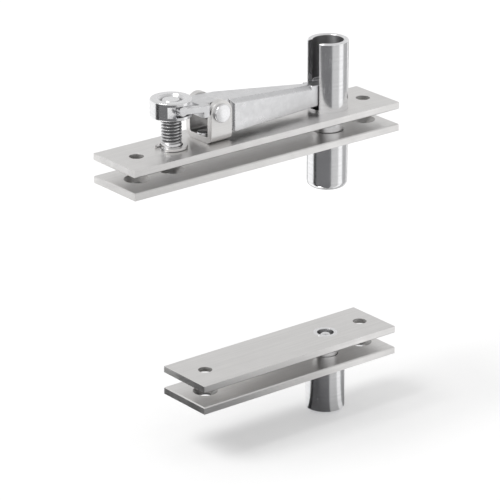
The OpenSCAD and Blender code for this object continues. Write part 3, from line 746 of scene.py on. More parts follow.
def top_cup_mesh(sizes):
    """A turned cup with a drilled bore, whose floor is the cone of the drill's point."""
    outer_r, foot, top = upright("top_cup")
    bore_r, edge = bore_for("top_pivot_pin", sizes), sizes.edge
    floor_z = foot + CUP_FLOOR
    corners = [(0, floor_z, 0), (bore_r, floor_z + bore_r * math.tan(DRILL_SLOPE), edge),
               (bore_r, top, edge), (outer_r, top, edge / 2), (outer_r, foot, CUP_ROUND), (0, foot, 0)]
    return join_patches("top_cup", [turned(corners, bore_r=bore_r)])


def floor_cup_mesh(sizes):
    """A turned cup bored for the bearing, with the floor pin's hole in its floor."""
    outer_r, foot, top = upright("floor_cup")
    pin_r, race_z = upright("floor_pin")[0], upright("lower_race")[1]
    bore_r, edge = bore_for("lower_race", sizes), sizes.edge
    hole_z = foot + PIN_HOLE_FLOOR
    corners = [(0, hole_z, 0), (pin_r, hole_z, 0), (pin_r, race_z, edge), (bore_r, race_z, edge),
               (bore_r, top, edge), (outer_r, top, edge / 2), (outer_r, foot, CUP_ROUND), (0, foot, 0)]
    return join_patches("floor_cup", [turned(corners, bore_r=bore_r)])


def sleeve_mesh(sizes):
    """The straight sleeve that turns on the floor pin."""
    outer_r, foot, top = upright("bottom_sleeve")
    bore_r, edge = bore_for("floor_pin", sizes), sizes.edge
    start = (bore_r, foot + SLEEVE_LIP, 0)
    corners = [start, (bore_r, top, edge), (outer_r, top, edge / 2), (outer_r, foot, SLEEVE_LIP),
               (bore_r, foot, SLEEVE_LIP), start]
    return join_patches("bottom_sleeve", [turned(corners, bore_r=bore_r)])


class HINGE_OT_tubes(bpy.types.Operator):
    """Builds the slotted guide tube, the two cups and the sleeve"""
    bl_idname = "hinge.tubes"
    bl_label = "Tubes and cups"

    def execute(self, context):
        sizes = context.scene.hinge_sizes
        steel = polished_steel(context.scene.hinge_finish)
        finish_piece("pin_guide_tube", guide_tube_mesh(sizes), steel)
        finish_piece("top_cup", top_cup_mesh(sizes), steel)
        finish_piece("floor_cup", floor_cup_mesh(sizes), steel)
        finish_piece("bottom_sleeve", sleeve_mesh(sizes), steel)
        return {"FINISHED"}


# ---- Pins and rivets ----

def floor_pin_mesh(sizes):
    """A straight pin with a round nose: a quarter circle of the pin's own radius."""
    radius, foot, top = upright("floor_pin")
    shank, worn = rounded([(0, foot, 0), (radius, foot, sizes.edge), (radius, top - radius, 0)])
    nose = arc((0, top - radius), radius, 0, math.pi / 2, HALF_STEPS + 1)[1:]
    profile = np.concatenate([shank, nose])
    return join_patches("floor_pin", [lathed(profile, np.pad(worn, (0, len(nose))))])


def link_pin_mesh(sizes):
    """A short cross pin with rounded ends, lying along Y."""
    low, high = node_box("link_pin")
    radius, half = (high[2] - low[2]) / 2, (high[1] - low[1]) / 2
    corners = [(0, -half, 0), (radius, -half, sizes.edge), (radius, half, sizes.edge), (0, half, 0)]
    return join_patches("link_pin", [laid_along_y(turned(corners), (low + high) / 2)])


def fulcrum_pin_mesh(sizes):
    """The fulcrum pin, lying along Y: a turned head at one end and a peened one at the other."""
    low, high = node_box("fulcrum_pin")
    head_r = (high[2] - low[2]) / 2
    shank_r = head_r - HEAD_OVER
    peen_r = shank_r + PEEN_OVER
    head_y, peen_y, end_y = low[1] + HEAD_THICKNESS, high[1] - PEEN_THICKNESS, high[1]
    (mouth_r, mouth_round), (floor_r, floor_round) = DIMPLE_MOUTH, DIMPLE_FLOOR
    edge = sizes.edge
    corners = [(0, low[1], 0), (head_r, low[1], HEAD_ROUND), (head_r, head_y, edge / 2),
               (shank_r, head_y, 0), (shank_r, peen_y, 0), (peen_r, peen_y, edge / 2),
               (peen_r, end_y, PEEN_ROUND), (mouth_r, end_y, mouth_round),
               (floor_r, end_y - DIMPLE_DEPTH, floor_round), (0, end_y - DIMPLE_DEPTH, 0)]
    return join_patches("fulcrum_pin", [laid_along_y(turned(corners), (FULCRUM_X, 0, FULCRUM_Z))])


def rivets_mesh(sizes):
    """Two rivets: each is set flush in its countersink below and has a low domed head above."""
    low, high = node_box("bracket_rivets")
    head_r = (high[1] - low[1]) / 2
    foot, top, edge = low[2], high[2], sizes.edge
    grip = node_box("jamb_plate")[1][2] + BRACKET_T
    corners = [(0, foot, 0), (RIVET_R + RIVET_SINK, foot, edge / 3), (RIVET_R, foot + RIVET_SINK, 0),
               (RIVET_R, grip, 0), (head_r, grip, edge / 3), (head_r, top, RIVET_DOME), (0, top, 0)]
    return join_patches("bracket_rivets", [turned(corners, (x, 0)) for x in rivet_places()])


class HINGE_OT_pins(bpy.types.Operator):
    """Builds the lift pin, the link pin, the floor pin, the fulcrum pin and the rivets"""
    bl_idname = "hinge.pins"
    bl_label = "Pins and rivets"

    def execute(self, context):
        sizes = context.scene.hinge_sizes
        steel = polished_steel(context.scene.hinge_finish)
        finish_piece("top_pivot_pin", softened_copy("top_pivot_pin", sizes.edge), steel)
        finish_piece("link_pin", link_pin_mesh(sizes), steel)
        finish_piece("floor_pin", floor_pin_mesh(sizes), steel)
        finish_piece("fulcrum_pin", fulcrum_pin_mesh(sizes), steel)
        finish_piece("bracket_rivets", rivets_mesh(sizes), steel)
        return {"FINISHED"}


# ---- Lift screw and nut ----

def side_by_side(parts, count):
    """Joins parts of a profile, given as (radii, heights), into one table of radii and one of
    heights, with a row for each of count steps round. A part's radii or heights are one number, one
    value for each of its points, or a table."""
    tables = []
    for part in parts:
        wide = [np.atleast_2d(values) for values in part]
        shape = (count, max(values.shape[1] for values in wide))
        tables.append([np.broadcast_to(values, shape) for values in wide])
    return [np.concatenate(columns, axis=1) for columns in zip(*tables)]


def threaded(angles, z0, z1, crest_r, root_r):
    """Radii and heights of a thread between z0 and z1, one row for each angle. The thread follows
    z = pitch * angle / (2 pi). Its crest is an eighth of the pitch wide and its root a quarter, with
    straight flanks between them. A row holds the corners of this profile where the helix crosses its
    angle. Corners past an end are drawn onto it, with the radius that the thread has there."""
    share = np.array([0, 1 / 16, 3 / 8, 1 / 2, 5 / 8, 15 / 16, 1])
    radius = np.array([crest_r, crest_r, root_r, root_r, root_r, crest_r, crest_r])
    turns = np.arange(math.floor(z0 / THREAD_PITCH) - 1, math.ceil(z1 / THREAD_PITCH) + 1)
    lead = angles[:, None] / (2 * math.pi)
    places = (turns[:, None] + share[:-1]).ravel()
    heights = np.clip(THREAD_PITCH * (places + lead), z0, z1)
    return np.interp((heights / THREAD_PITCH - lead) % 1, share, radius), heights


def hex_socket(angles, bottom, sizes):
    """The screw's hex socket as parts of a profile, from the middle of its floor to its mouth. The
    radius of its sides is half its width over cos(angle from the middle of a side)."""
    half, edge, side = sizes.socket_af / 2, sizes.edge, math.pi / 3
    hexagon = (half / np.cos(angles % side - side / 2))[:, None]
    floor_z = bottom + SOCKET_DEPTH
    return [(0, floor_z + SOCKET_POINT), (half - edge, floor_z), (hexagon, floor_z),
            (hexagon, bottom + 1.5 * edge), (hexagon + edge / 2, bottom + edge / 2),
            (half / math.cos(side / 2) + edge, bottom)]


def screw_mesh(sizes):
    """The lift screw, from the floor of its hex socket round the countersunk head, along the shank
    with its clip's groove, up the thread and over the tip. All of it is one grid of angle by
    profile. The thread grows out of the shank over its first pitch, and its tip is bevelled."""
    head_r, bottom, top = upright("adjusting_screw")
    _, clip_foot, clip_top = upright("screw_clip")
    shank_r, edge = sizes.screw_d / 2, sizes.edge
    groove_r = shank_r - GROOVE_DEPTH
    groove_foot, groove_top = clip_foot - GROOVE_PLAY, clip_top + GROOVE_PLAY
    cone_z = node_box("jamb_plate")[1][2] + SCREW_LAND - HEAD_REST - HEAD_LIFT
    start = clip_top + THREAD_START
    angles = round_angles()

    socket = hex_socket(angles, bottom, sizes)
    outside, outside_worn = rounded([
        (*socket[-1], 0), (head_r, bottom, edge / 2), (head_r, bottom + SCREW_LAND, edge / 3),
        (shank_r, cone_z, edge), (shank_r, groove_foot, edge / 2), (groove_r, groove_foot, edge / 2),
        (groove_r, groove_top, edge / 2), (shank_r, groove_top, edge / 2), (shank_r, start, 0)])
    thread_r, thread_z = threaded(angles, start, top, shank_r, shank_r - THREAD_DEPTH)
    fade = np.clip((thread_z - start) / THREAD_PITCH, 0, 1)
    thread_r = shank_r - (shank_r - thread_r) * fade * fade * (3 - 2 * fade)
    thread_r = np.minimum(thread_r, shank_r - THREAD_POINT + (top - thread_z))
    parts = [*socket, outside[1:].T, (thread_r, thread_z), (0, top)]
    radii, heights = side_by_side(parts, len(angles))

    on_thread = heights > start
    worn = CREST_WEAR * (on_thread & (radii > shank_r - CREST_SHARE * THREAD_DEPTH))
    worn[:, len(socket):len(socket) + len(outside) - 1] = outside_worn[1:]
    # painted shade with grime: the thread darkens towards its roots, where shade falls, short of the tip's bevel
    grime_and_shade = np.clip(THREAD_GRIME_AND_SHADE * (shank_r - radii) / THREAD_DEPTH, 0, 1)
    grime_and_shade = grime_and_shade * on_thread * (heights < top - THREAD_POINT)
    points = revolve(radii, heights, angles, (SCREW_X, 0))
    return join_patches("adjusting_screw", [patch(points, worn, heights + radii, grime_and_shade)])


def nut_mesh(sizes):
    """The lift nut as one grid of angle by profile. Outside, the rows between the flanges follow the
    slots: their radius is core / |sin angle|, but at most the nut's own. Inside, the thread matches
    the screw's with a clearance, its crest is cut back to the tapping size, and both its ends are
    bevelled."""
    outer_r, bottom, top = upright("lift_nut")
    bore_r, edge = sizes.screw_d / 2 + THREAD_CLEARANCE, sizes.edge
    core = outer_r - sizes.nut_slot
    corner = math.asin(core / outer_r)
    stops = [-corner, corner, math.pi - corner, math.pi + corner, 2 * math.pi - corner]
    angles = [np.linspace(a, b, SIDE_STEPS + 1)[:-1] for a, b in zip(stops, stops[1:])]
    angles = np.concatenate([*angles, stops[-1:]])
    slotted = (core / np.maximum(np.abs(np.sin(angles)), core / outer_r))[:, None]
    slot_foot, slot_top = bottom + sizes.nut_flange, top - sizes.nut_flange
    lower, lower_worn = rounded([(bore_r, bottom + NUT_FOOT, 0), (bore_r + NUT_FOOT, bottom, edge),
                                 (outer_r, bottom, NUT_LIP), (outer_r, slot_foot, 0)])
    upper, upper_worn = rounded([(outer_r, slot_top, 0), (outer_r, top, NUT_LIP),
                                 (bore_r + NUT_MOUTH, top, edge), (bore_r, top - NUT_MOUTH, 0)])
    thread_r, thread_z = threaded(angles, bottom, top, bore_r, max(bore_r - THREAD_DEPTH, TAP_R))
    thread_r = np.maximum(thread_r, bore_r + NUT_FOOT - (thread_z - bottom))
    thread_r = np.maximum(thread_r, bore_r + NUT_MOUTH - (top - thread_z))
    # the thread's own ends stand for the first and last point of the outside
    parts = [lower[1:].T, (slotted, slot_foot), (slotted, slot_top), upper[:-1].T,
             (thread_r[:, ::-1], thread_z[:, ::-1]), lower[1]]
    radii, heights = side_by_side(parts, len(angles))
    worn = np.concatenate([lower_worn[1:], [0, 0], upper_worn[:-1], np.zeros(thread_z.shape[1] + 1)])
    # painted shade with grime: the nut's thread and the inner half of its mouth are darkened, where shade falls in
    # the bore
    grime_and_shade = np.clip((bore_r + NUT_MOUTH / 2 - radii) / THREAD_DEPTH, 0, 1)
    points = revolve(radii, heights, angles, (SCREW_X, 0))
    return join_patches("lift_nut", [patch(points, worn, heights + radii, grime_and_shade)])


class HINGE_OT_screw(bpy.types.Operator):
    """Builds the threaded lift screw with its hex socket, the tapped nut and the screw's clip"""
    bl_idname = "hinge.screw"
    bl_label = "Lift screw and nut"

    def execute(self, context):
        sizes = context.scene.hinge_sizes
        finish = context.scene.hinge_finish
        steel = polished_steel(finish)
        finish_piece("adjusting_screw", screw_mesh(sizes), steel)
        finish_piece("lift_nut", nut_mesh(sizes), steel)
        finish_piece("screw_clip", softened_copy("screw_clip", sizes.edge / 2), satin_steel(finish))
        return {"FINISHED"}


# ---- Lever and bracket ----

class HINGE_OT_lever(bpy.types.Operator):
    """Builds the cast lever and the folded bracket that carries it"""
    bl_idname = "hinge.lever"
    bl_label = "Lever and bracket"

    def execute(self, context):
        sizes = context.scene.hinge_sizes
        finish = context.scene.hinge_finish
        finish_piece("lever", softened_copy("lever", sizes.cast_edge), plated_casting(finish))
        bracket = softened_copy("fulcrum_bracket", sizes.edge)
        finish_piece("fulcrum_bracket", bracket, satin_steel(finish))
        return {"FINISHED"}


# ---- Thrust bearing ----

def ball_circle():
    """Radius of a ball, and the radius and height of the circle that the balls' middles lie on."""
    low, high = node_box("bearing_balls")
    ball_r = (high[2] - low[2]) / 2
    return ball_r, (high[0] - low[0]) / 2 - ball_r, (high[2] + low[2]) / 2


def race_mesh(node, bore_r, side):
    """A washer with the balls' track in one face: the track is the arc that a circle, a little larger
    than a ball and centred with it, cuts into that face. Side is 1 if the face is the upper one, and
    -1 if it isn't."""
    outer_r, foot, top = upright(node)
    ball_r, pitch_r, ball_z = ball_circle()
    face, back = (top, foot) if side > 0 else (foot, top)
    track_r = ball_r + BALL_PLAY
    reach = math.asin(abs(face - ball_z) / track_r)
    track = arc((pitch_r, ball_z), track_r, side * (reach - math.pi), -side * reach, TRACK_STEPS)
    start = (bore_r, (face + back) / 2, 0)
    inner, inner_worn = rounded([start, (bore_r, face, RACE_EDGE), (track[0, 0], face, 0)])
    outer, outer_worn = rounded([(track[-1, 0], face, 0), (outer_r, face, RACE_EDGE),
                                 (outer_r, back, RACE_EDGE), (bore_r, back, RACE_EDGE), start])
    profile = np.concatenate([inner[:-1], track, outer[1:]])
    worn = np.concatenate([inner_worn[:-1], np.zeros(len(track)), outer_worn[1:]])
    return join_patches(node, [lathed(profile, worn)])


def balls_mesh():
    """The balls: each is a half circle turned about its own upright axis."""
    ball_r, pitch_r, ball_z = ball_circle()
    profile = arc((0, ball_z), ball_r, -math.pi / 2, math.pi / 2, HALF_STEPS + 1)
    angles = np.linspace(0, 2 * math.pi, SIDE_STEPS + 1)
    centres = arc((0, 0), pitch_r, 0, 2 * math.pi, BALL_COUNT + 1)[:-1]
    balls = [patch(revolve(*profile.T, angles, centre)) for centre in centres]
    return join_patches("bearing_balls", balls)


class HINGE_OT_bearing(bpy.types.Operator):
    """Builds the thrust bearing in the floor cup: two races, the balls and their brass cage"""
    bl_idname = "hinge.bearing"
    bl_label = "Thrust bearing"

    def execute(self, context):
        sizes = context.scene.hinge_sizes
        finish = context.scene.hinge_finish
        steel = polished_steel(finish)
        pin_r = upright("floor_pin")[0]
        finish_piece("upper_race", race_mesh("upper_race", pin_r + 2 * sizes.run_fit, -1), steel)
        finish_piece("lower_race", race_mesh("lower_race", pin_r + sizes.run_fit / 2, 1), steel)
        finish_piece("bearing_balls", balls_mesh(), steel)
        finish_piece("ball_cage", softened_copy("ball_cage", sizes.edge / 2), brass(finish))
        return {"FINISHED"}


# ---- Node trees ----

def add_node(tree, kind, inputs=None, **settings):
    """Adds a node, sets its settings, and sets or links its inputs, which are given by name or place."""
    node = tree.nodes.new(kind)
    for name, value in settings.items():
        setattr(node, name, value)
    for key, value in (inputs or {}).items():
        if isinstance(value, bpy.types.NodeSocket):
            tree.links.new(value, node.inputs[key])
        else:
            node.inputs[key].default_value = value
    return node


def math_node(tree, operation, a, b=0.0, clamp=False):
    """The output of a Math node."""
    node = add_node(tree, "ShaderNodeMath", {0: a, 1: b}, operation=operation, use_clamp=clamp)
    return node.outputs[0]


def spread(tree, value, low, high, out_low=0.0, out_high=1.0):
    """Maps a value from low..high to out_low..out_high, held at both ends."""
    return add_node(tree, "ShaderNodeMapRange",
                    {0: value, 1: low, 2: high, 3: out_low, 4: out_high}).outputs[0]


def mix_value(tree, factor, a, b):
    """The value between a and b. A Mix node's inputs go by place, because its kinds share names."""
    return add_node(tree, "ShaderNodeMix", {0: factor, 2: a, 3: b}, data_type="FLOAT").outputs[0]


def mix_colour(tree, factor, a, b):
    """The colour between a and b."""
    return add_node(tree, "ShaderNodeMix", {0: factor, 6: a, 7: b}, data_type="RGBA").outputs[2]


def noise(tree, vector, scale, detail=2.0, roughness=0.5, distortion=0.0):
    """The Fac output of a Noise Texture."""
    return add_node(tree, "ShaderNodeTexNoise",
                    {"Vector": vector, "Scale": scale, "Detail": detail, "Roughness": roughness,
                     "Distortion": distortion}).outputs["Fac"]


def line_noise(tree, place, scale, detail):
    """The Fac output of a Noise Texture in one dimension."""
    return add_node(tree, "ShaderNodeTexNoise", {"W": place, "Scale": scale, "Detail": detail},
                    noise_dimensions="1D").outputs["Fac"]


def mapped(tree, vector, **inputs):
    """Coordinates that a Mapping node has moved, turned or scaled."""
    return add_node(tree, "ShaderNodeMapping", {"Vector": vector, **inputs}).outputs[0]


def stored(tree, name):
    """One of the values that a piece carries at its points."""
    return add_node(tree, "ShaderNodeAttribute", attribute_name=name).outputs["Fac"]


def node_group(name, inputs, outputs, build):
    """A shader node group, built once. Inputs are (name, kind, default) and outputs are names of
    values. Build adds the nodes, and returns the socket of each output."""
    if name in bpy.data.node_groups:
        return bpy.data.node_groups[name]
    group = bpy.data.node_groups.new(name, "ShaderNodeTree")
    for label, kind, default in inputs:
        socket = group.interface.new_socket(label, in_out="INPUT", socket_type="NodeSocket" + kind)
        if default is not None:
            socket.default_value = default
    for label in outputs:
        group.interface.new_socket(label, in_out="OUTPUT", socket_type="NodeSocketFloat")
    entry, result = group.nodes.new("NodeGroupInput"), group.nodes.new("NodeGroupOutput")
    for label, value in build(group, entry.outputs).items():
        group.links.new(value, result.inputs[label])
    return group


def use_group(tree, group, **inputs):
    """Places a node group in a material and returns its outputs."""
    return add_node(tree, "ShaderNodeGroup", inputs, node_tree=group).outputs


# ---- Patterns that the metals share ----

def brushed_grain():
    """Brush lines along X: noise on coordinates that are shortened across the lines. Height is the
    fine grain and Tone its slow change from line to line."""
    def build(tree, given):
        grain = noise(tree, mapped(tree, given["Vector"], Scale=BRUSH_FINE), 1, detail=3, roughness=0.6)
        slow = noise(tree, mapped(tree, given["Vector"], Scale=BRUSH_SLOW), 1, roughness=0.6)
        return {"Height": grain, "Tone": mix_value(tree, BRUSH_MIX, slow, grain)}
    return node_group("Brushed grain", [("Vector", "Vector", None)], ["Height", "Tone"], build)


def lathe_rings():
    """Marks of a lathe: noise in one dimension along the distance that the tool has gone."""
    def build(tree, given):
        place = math_node(tree, "DIVIDE", stored(tree, "ring"), given["Pitch"])
        return {"Height": line_noise(tree, place, 1, 3), "Tone": line_noise(tree, place, BAND_SCALE, 1)}
    return node_group("Lathe rings", [("Pitch", "Float", RING_PITCH_TURNED)], ["Height", "Tone"], build)


def handling():
    """Traces of use: Smudge is a slow, soft change of polish, and Scratch is 1 on a few fine, nearly
    straight lines along X, where one of two noises drawn out along them crosses its middle value."""
    def build(tree, given):
        place = given["Vector"]
        smudge = noise(tree, place, SMUDGE_CELLS, detail=3, roughness=0.55, distortion=0.4)
        lines = []
        for turn, start in SCRATCHES:
            drawn = mapped(tree, place, Location=start, Rotation=(0, 0, turn), Scale=SCRATCH_CELLS)
            off = math_node(tree, "SUBTRACT", noise(tree, drawn, 1, detail=0), 0.5)
            lines.append(spread(tree, math_node(tree, "ABSOLUTE", off), 0, SCRATCH_WIDTH, 1, 0))
        patches = spread(tree, noise(tree, place, PATCH_CELLS, detail=1), *PATCH_RANGE)
        scratch = math_node(tree, "MULTIPLY", math_node(tree, "MAXIMUM", *lines), patches)
        return {"Smudge": spread(tree, smudge, *SMUDGE_RANGE), "Scratch": scratch}
    return node_group("Handling", [("Vector", "Vector", None)], ["Smudge", "Scratch"], build)


def edge_wear():
    """Where edges are rubbed bright: the piece's own worn value, broken up by noise."""
    def build(tree, given):
        broken = noise(tree, given["Vector"], WEAR_CELLS, detail=4, roughness=0.65)
        mask = math_node(tree, "MULTIPLY", stored(tree, "worn"), spread(tree, broken, *WEAR_RANGE))
        return {"Mask": math_node(tree, "MULTIPLY", mask, given["Amount"], clamp=True)}
    inputs = [("Vector", "Vector", None), ("Amount", "Float", 0.5)]
    return node_group("Edge wear", inputs, ["Mask"], build)


def cast_skin():
    """Skin of a plated casting: soft waves with a fine grain over them."""
    def build(tree, given):
        place = given["Vector"]
        waves = math_node(tree, "MULTIPLY", noise(tree, place, CAST_WAVES, distortion=0.2), WAVE_HEIGHT)
        grain = noise(tree, place, CAST_GRAIN, detail=3, roughness=0.6)
        tone = noise(tree, place, CAST_TONE, detail=3, roughness=0.6)
        return {"Height": math_node(tree, "ADD", waves, grain), "Tone": tone}
    return node_group("Cast skin", [("Vector", "Vector", None)], ["Height", "Tone"], build)


# ---- Metals ----

def empty_tree(owner):
    """Gives a material or world an empty node tree."""
    owner.use_nodes = True
    owner.node_tree.nodes.clear()
    return owner.node_tree


def new_material(name, build):
    """A material, made once, whose shader build adds to its empty tree."""
    if name in bpy.data.materials:
        return bpy.data.materials[name]
    material = bpy.data.materials.new(name)
    tree = empty_tree(material)
    add_node(tree, "ShaderNodeOutputMaterial", {"Surface": build(tree)})
    return material


def shade(colour, factor):
    """A colour made lighter or darker, with the alpha that nodes ask for."""
    return (*(min(1.0, c * factor) for c in colour), 1.0)


def metal(name, colour, roughness, wear, depth, pattern):
    """A metal. Its pattern adds nodes of its own and returns a tone, a height, the coordinates that
    scratches follow, and its mask of dirt and painted shade, or None. The tone shifts colour and
    roughness, smudges and scratches shift roughness, and worn edges are lighter and smoother. The
    height becomes a bump of the depth given, and the mask darkens the metal with dirt and painted
    shade, and dulls it."""
    def build(tree):
        place = tree.nodes.new("ShaderNodeTexCoord").outputs["Object"]
        tone, height, scratched, grime_and_shade = pattern(tree, place)
        marks = use_group(tree, handling(), Vector=scratched)
        worn = use_group(tree, edge_wear(), Vector=place, Amount=wear)["Mask"]
        dark, light = (shade(colour, factor) for factor in TONE_COLOUR)
        base = mix_colour(tree, spread(tree, tone, *TONE_RANGE), dark, light)
        base = mix_colour(tree, worn, base, shade(colour, WORN_COLOUR))
        rough = spread(tree, tone, *TONE_RANGE, *(roughness * factor for factor in TONE_ROUGH))
        rough = mix_value(tree, marks["Smudge"], rough, roughness * SMUDGE_ROUGH)
        rough = mix_value(tree, marks["Scratch"], rough, min(1.0, roughness * SCRATCH_ROUGH))
        rough = mix_value(tree, worn, rough, roughness * WORN_ROUGH)
        # painted shade with grime: the mask darkens the colour and dulls the roughness
        if grime_and_shade is not None:
            base = mix_colour(tree, grime_and_shade, base, shade(colour, GRIME_AND_SHADE_COLOUR))
            rough = mix_value(tree, grime_and_shade, rough, GRIME_ROUGH)
        bump = add_node(tree, "ShaderNodeBump", {"Height": height, "Distance": depth, "Strength": 1})
        inputs = {"Base Color": base, "Roughness": rough, "Normal": bump.outputs[0], "Metallic": 1}
        return add_node(tree, "ShaderNodeBsdfPrincipled", inputs).outputs[0]
    return new_material(name, build)


def satin_steel(finish):
    """Brushed stainless steel, with turned marks in the holes that were cut after brushing, and those
    holes darkened with dirt and painted shade.
    """
    def pattern(tree, place):
        brush = use_group(tree, brushed_grain(), Vector=place)
        rings = use_group(tree, lathe_rings(), Pitch=RING_PITCH_HOLE)
        cut = spread(tree, stored(tree, "cut"), *CUT_RANGE)
        tone, height = (mix_value(tree, cut, brush[name], rings[name]) for name in ("Tone", "Height"))
        # painted shade with grime: a plate's holes are darkened
        return tone, height, place, math_node(tree, "MULTIPLY", cut, HOLE_GRIME_AND_SHADE)
    return metal("satin_steel", finish.satin, finish.satin_rough, finish.wear, BRUSH_DEPTH, pattern)


def polished_steel(finish):
    """Turned and polished steel with the last trace of the lathe, darkened by dirt and painted shade
    where a piece's cut value says. Its scratches run upright.
    """
    def pattern(tree, place):
        rings = use_group(tree, lathe_rings(), Pitch=RING_PITCH_TURNED)
        upended = mapped(tree, place, Rotation=(0, math.pi / 2, 0))
        # the cut value carries grime and painted shade here
        return rings["Tone"], rings["Height"], upended, stored(tree, "cut")
    return metal("polished_steel", finish.polished, finish.polished_rough, finish.wear, TURNED_DEPTH,
                 pattern)


def skin_pattern(tree, place):
    """The pattern of a metal that isn't machined: the skin of its casting or sheet."""
    skin = use_group(tree, cast_skin(), Vector=place)
    return skin["Tone"], skin["Height"], place, None


def plated_casting(finish):
    """Nickel-plated casting: its skin shows through the plating and its edges are rubbed."""
    return metal("plated_casting", finish.cast, finish.cast_rough, finish.wear, CAST_DEPTH, skin_pattern)


def brass(finish):
    """Stamped brass."""
    return metal("stamped_brass", finish.brass, finish.brass_rough, finish.wear, STAMPED_DEPTH,
                 skin_pattern)


# ---- Stage ----

def ring_card(name, azimuth, half_width, z):
    """A flat card: the part of a ring round the hinge that lies within half_width of an azimuth."""
    angles = np.linspace(azimuth - half_width, azimuth + half_width, SIDE_STEPS)
    return join_patches(name, [patch(revolve([CARD_INNER, CARD_OUTER], [z, z], angles))])


def stage_object(name, mesh, material):
    """A flat stage piece that faces up, with its material."""
    if mesh.polygons[0].normal.z < 0:
        mesh.flip_normals()
    mesh.materials.append(material)
    thing = new_object(name, mesh)
    return thing


def matt(tree, colour):
    """A matt shader."""
    return add_node(tree, "ShaderNodeBsdfDiffuse", {"Color": (*colour, 1)}).outputs[0]


def mix_shader(tree, factor, a, b):
    """The shader between a and b."""
    return add_node(tree, "ShaderNodeMixShader", {0: factor, 1: a, 2: b}).outputs[0]


def floor_material(stage):
    """A pale matt floor. What the camera and reflections see of it is lifted towards white, so that
    the shadow stays. It is clear from below, so that the hinge can be looked at from there."""
    def build(tree):
        pale = matt(tree, stage.floor)
        glow = add_node(tree, "ShaderNodeEmission", {"Color": (1, 1, 1, 1), "Strength": FLOOR_LIFT})
        lifted = add_node(tree, "ShaderNodeAddShader", {0: pale, 1: glow.outputs[0]}).outputs[0]
        path = tree.nodes.new("ShaderNodeLightPath").outputs
        seen = math_node(tree, "ADD", path["Is Camera Ray"], path["Is Glossy Ray"])
        seen = math_node(tree, "ADD", seen, path["Is Transmission Ray"], clamp=True)
        below = tree.nodes.new("ShaderNodeNewGeometry").outputs["Backfacing"]
        clear = tree.nodes.new("ShaderNodeBsdfTransparent").outputs[0]
        return mix_shader(tree, below, mix_shader(tree, seen, pale, lifted), clear)
    return new_material("floor", build)


def card_material(name, colour):
    """A matt card."""
    return new_material(name, lambda tree: matt(tree, colour))


def room_world(stage):
    """The room: white for the camera, and a soft gradient from the horizon to the ceiling for light
    and reflections."""
    world = bpy.data.worlds.new("room")
    bpy.context.scene.world = world
    tree = empty_tree(world)
    direction = tree.nodes.new("ShaderNodeTexCoord").outputs["Generated"]
    height = add_node(tree, "ShaderNodeSeparateXYZ", {0: direction}).outputs["Z"]
    level = spread(tree, height, 0, SKY_EVEN, SKY_LOW * stage.sky, SKY_HIGH * stage.sky)
    camera_ray = tree.nodes.new("ShaderNodeLightPath").outputs["Is Camera Ray"]
    strength = mix_value(tree, camera_ray, level, 1)
    back = add_node(tree, "ShaderNodeBackground", {"Color": (1, 1, 1, 1), "Strength": strength})
    add_node(tree, "ShaderNodeOutputWorld", {"Surface": back.outputs[0]})


def view_from(azimuth, elevation):
    """The direction from the hinge towards a viewer."""
    return Vector((math.sin(azimuth) * math.cos(elevation), -math.cos(azimuth) * math.cos(elevation),
                   math.sin(elevation)))


def key_light(stage):
    """One wide, soft light from high on the camera's left."""
    data = bpy.data.lights.new("key", "SUN")
    data.energy = stage.key
    data.angle = stage.key_spread
    lamp = new_object("key", data)
    lamp.rotation_mode = "QUATERNION"
    lamp.rotation_quaternion = view_from(stage.azimuth + KEY_TURN, KEY_HEIGHT).to_track_quat("Z", "Y")


def aim_camera(stage, target):
    """The camera, as far from the target as its lens needs to take in the hinge."""
    data = bpy.data.cameras.new("camera")
    data.lens = stage.lens
    data.clip_start, data.clip_end = CLIP_NEAR, CLIP_FAR
    camera = new_object("camera", data)
    bpy.context.scene.camera = camera
    back = view_from(stage.azimuth, stage.elevation)
    half_view = math.atan(data.sensor_width / 2 / data.lens)
    camera.location = target + back * (VIEW_HALF / math.tan(half_view))
    camera.rotation_mode = "QUATERNION"
    camera.rotation_quaternion = (-back).to_track_quat("-Z", "Y")


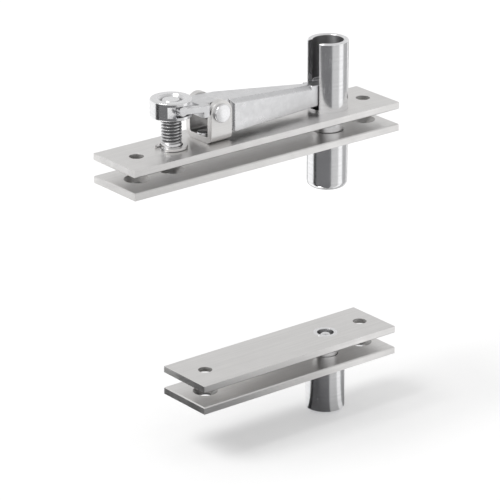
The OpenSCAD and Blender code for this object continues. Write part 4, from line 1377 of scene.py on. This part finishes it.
class HINGE_OT_stage(bpy.types.Operator):
    """Builds the pale floor, the reflected cards, the soft light and the camera"""
    bl_idname = "hinge.stage"
    bl_label = "Stage"

    def execute(self, context):
        stage = context.scene.hinge_stage
        low, high = (Vector(corner) for corner in CAD_BOX)
        floor_z = low.z - FLOOR_GAP
        run = np.linspace(-FLOOR_SIZE / 2, FLOOR_SIZE / 2, FLOOR_POINTS)
        floor = join_patches("floor", [flat_patch(run, run, floor_z)])
        stage_object("floor", floor, floor_material(stage))
        for name, (turn, half_width, colour) in CARDS.items():
            azimuth = stage.azimuth - math.pi / 2 + math.radians(turn)
            mesh = ring_card(name, azimuth, math.radians(half_width), floor_z + FLOOR_GAP / 2)
            card = stage_object(name, mesh, card_material(name, getattr(stage, colour)))
            card.visible_camera = card.visible_diffuse = card.visible_shadow = False
        room_world(stage)
        key_light(stage)
        aim_camera(stage, (low + high) / 2)
        context.scene.view_settings.view_transform = "Standard"
        return {"FINISHED"}


# ---- Panel and registration ----

OPERATORS = (HINGE_OT_plates, HINGE_OT_tubes, HINGE_OT_pins, HINGE_OT_screw, HINGE_OT_lever,
             HINGE_OT_bearing, HINGE_OT_stage)
SETTINGS = (("hinge_sizes", HingeSizes), ("hinge_finish", HingeFinish), ("hinge_stage", HingeStage))


class HINGE_PT_panel(bpy.types.Panel):
    """Lists the hinge's pieces and their settings"""
    bl_idname = "HINGE_PT_panel"
    bl_label = "Pivot hinge"
    bl_space_type = "VIEW_3D"
    bl_region_type = "UI"
    bl_category = "Pivot hinge"

    def draw(self, context):
        for operator in OPERATORS:
            self.layout.operator(operator.bl_idname)
        for name, group in SETTINGS:
            box = self.layout.box()
            for setting in group.__annotations__:
                box.prop(getattr(context.scene, name), setting)


CLASSES = (HingeSizes, HingeFinish, HingeStage, *OPERATORS, HINGE_PT_panel)


def register():
    for cls in CLASSES:
        bpy.utils.register_class(cls)
    for name, group in SETTINGS:
        setattr(bpy.types.Scene, name, bpy.props.PointerProperty(type=group))


def unregister():
    for name, _ in SETTINGS:
        delattr(bpy.types.Scene, name)
    for cls in reversed(CLASSES):
        bpy.utils.unregister_class(cls)


def main():
    """Builds every piece and the stage."""
    register()
    bpy.ops.hinge.plates()
    bpy.ops.hinge.tubes()
    bpy.ops.hinge.pins()
    bpy.ops.hinge.screw()
    bpy.ops.hinge.lever()
    bpy.ops.hinge.bearing()
    bpy.ops.hinge.stage()
    bpy.context.view_layer.update()


if __name__ == "__main__":
    main()
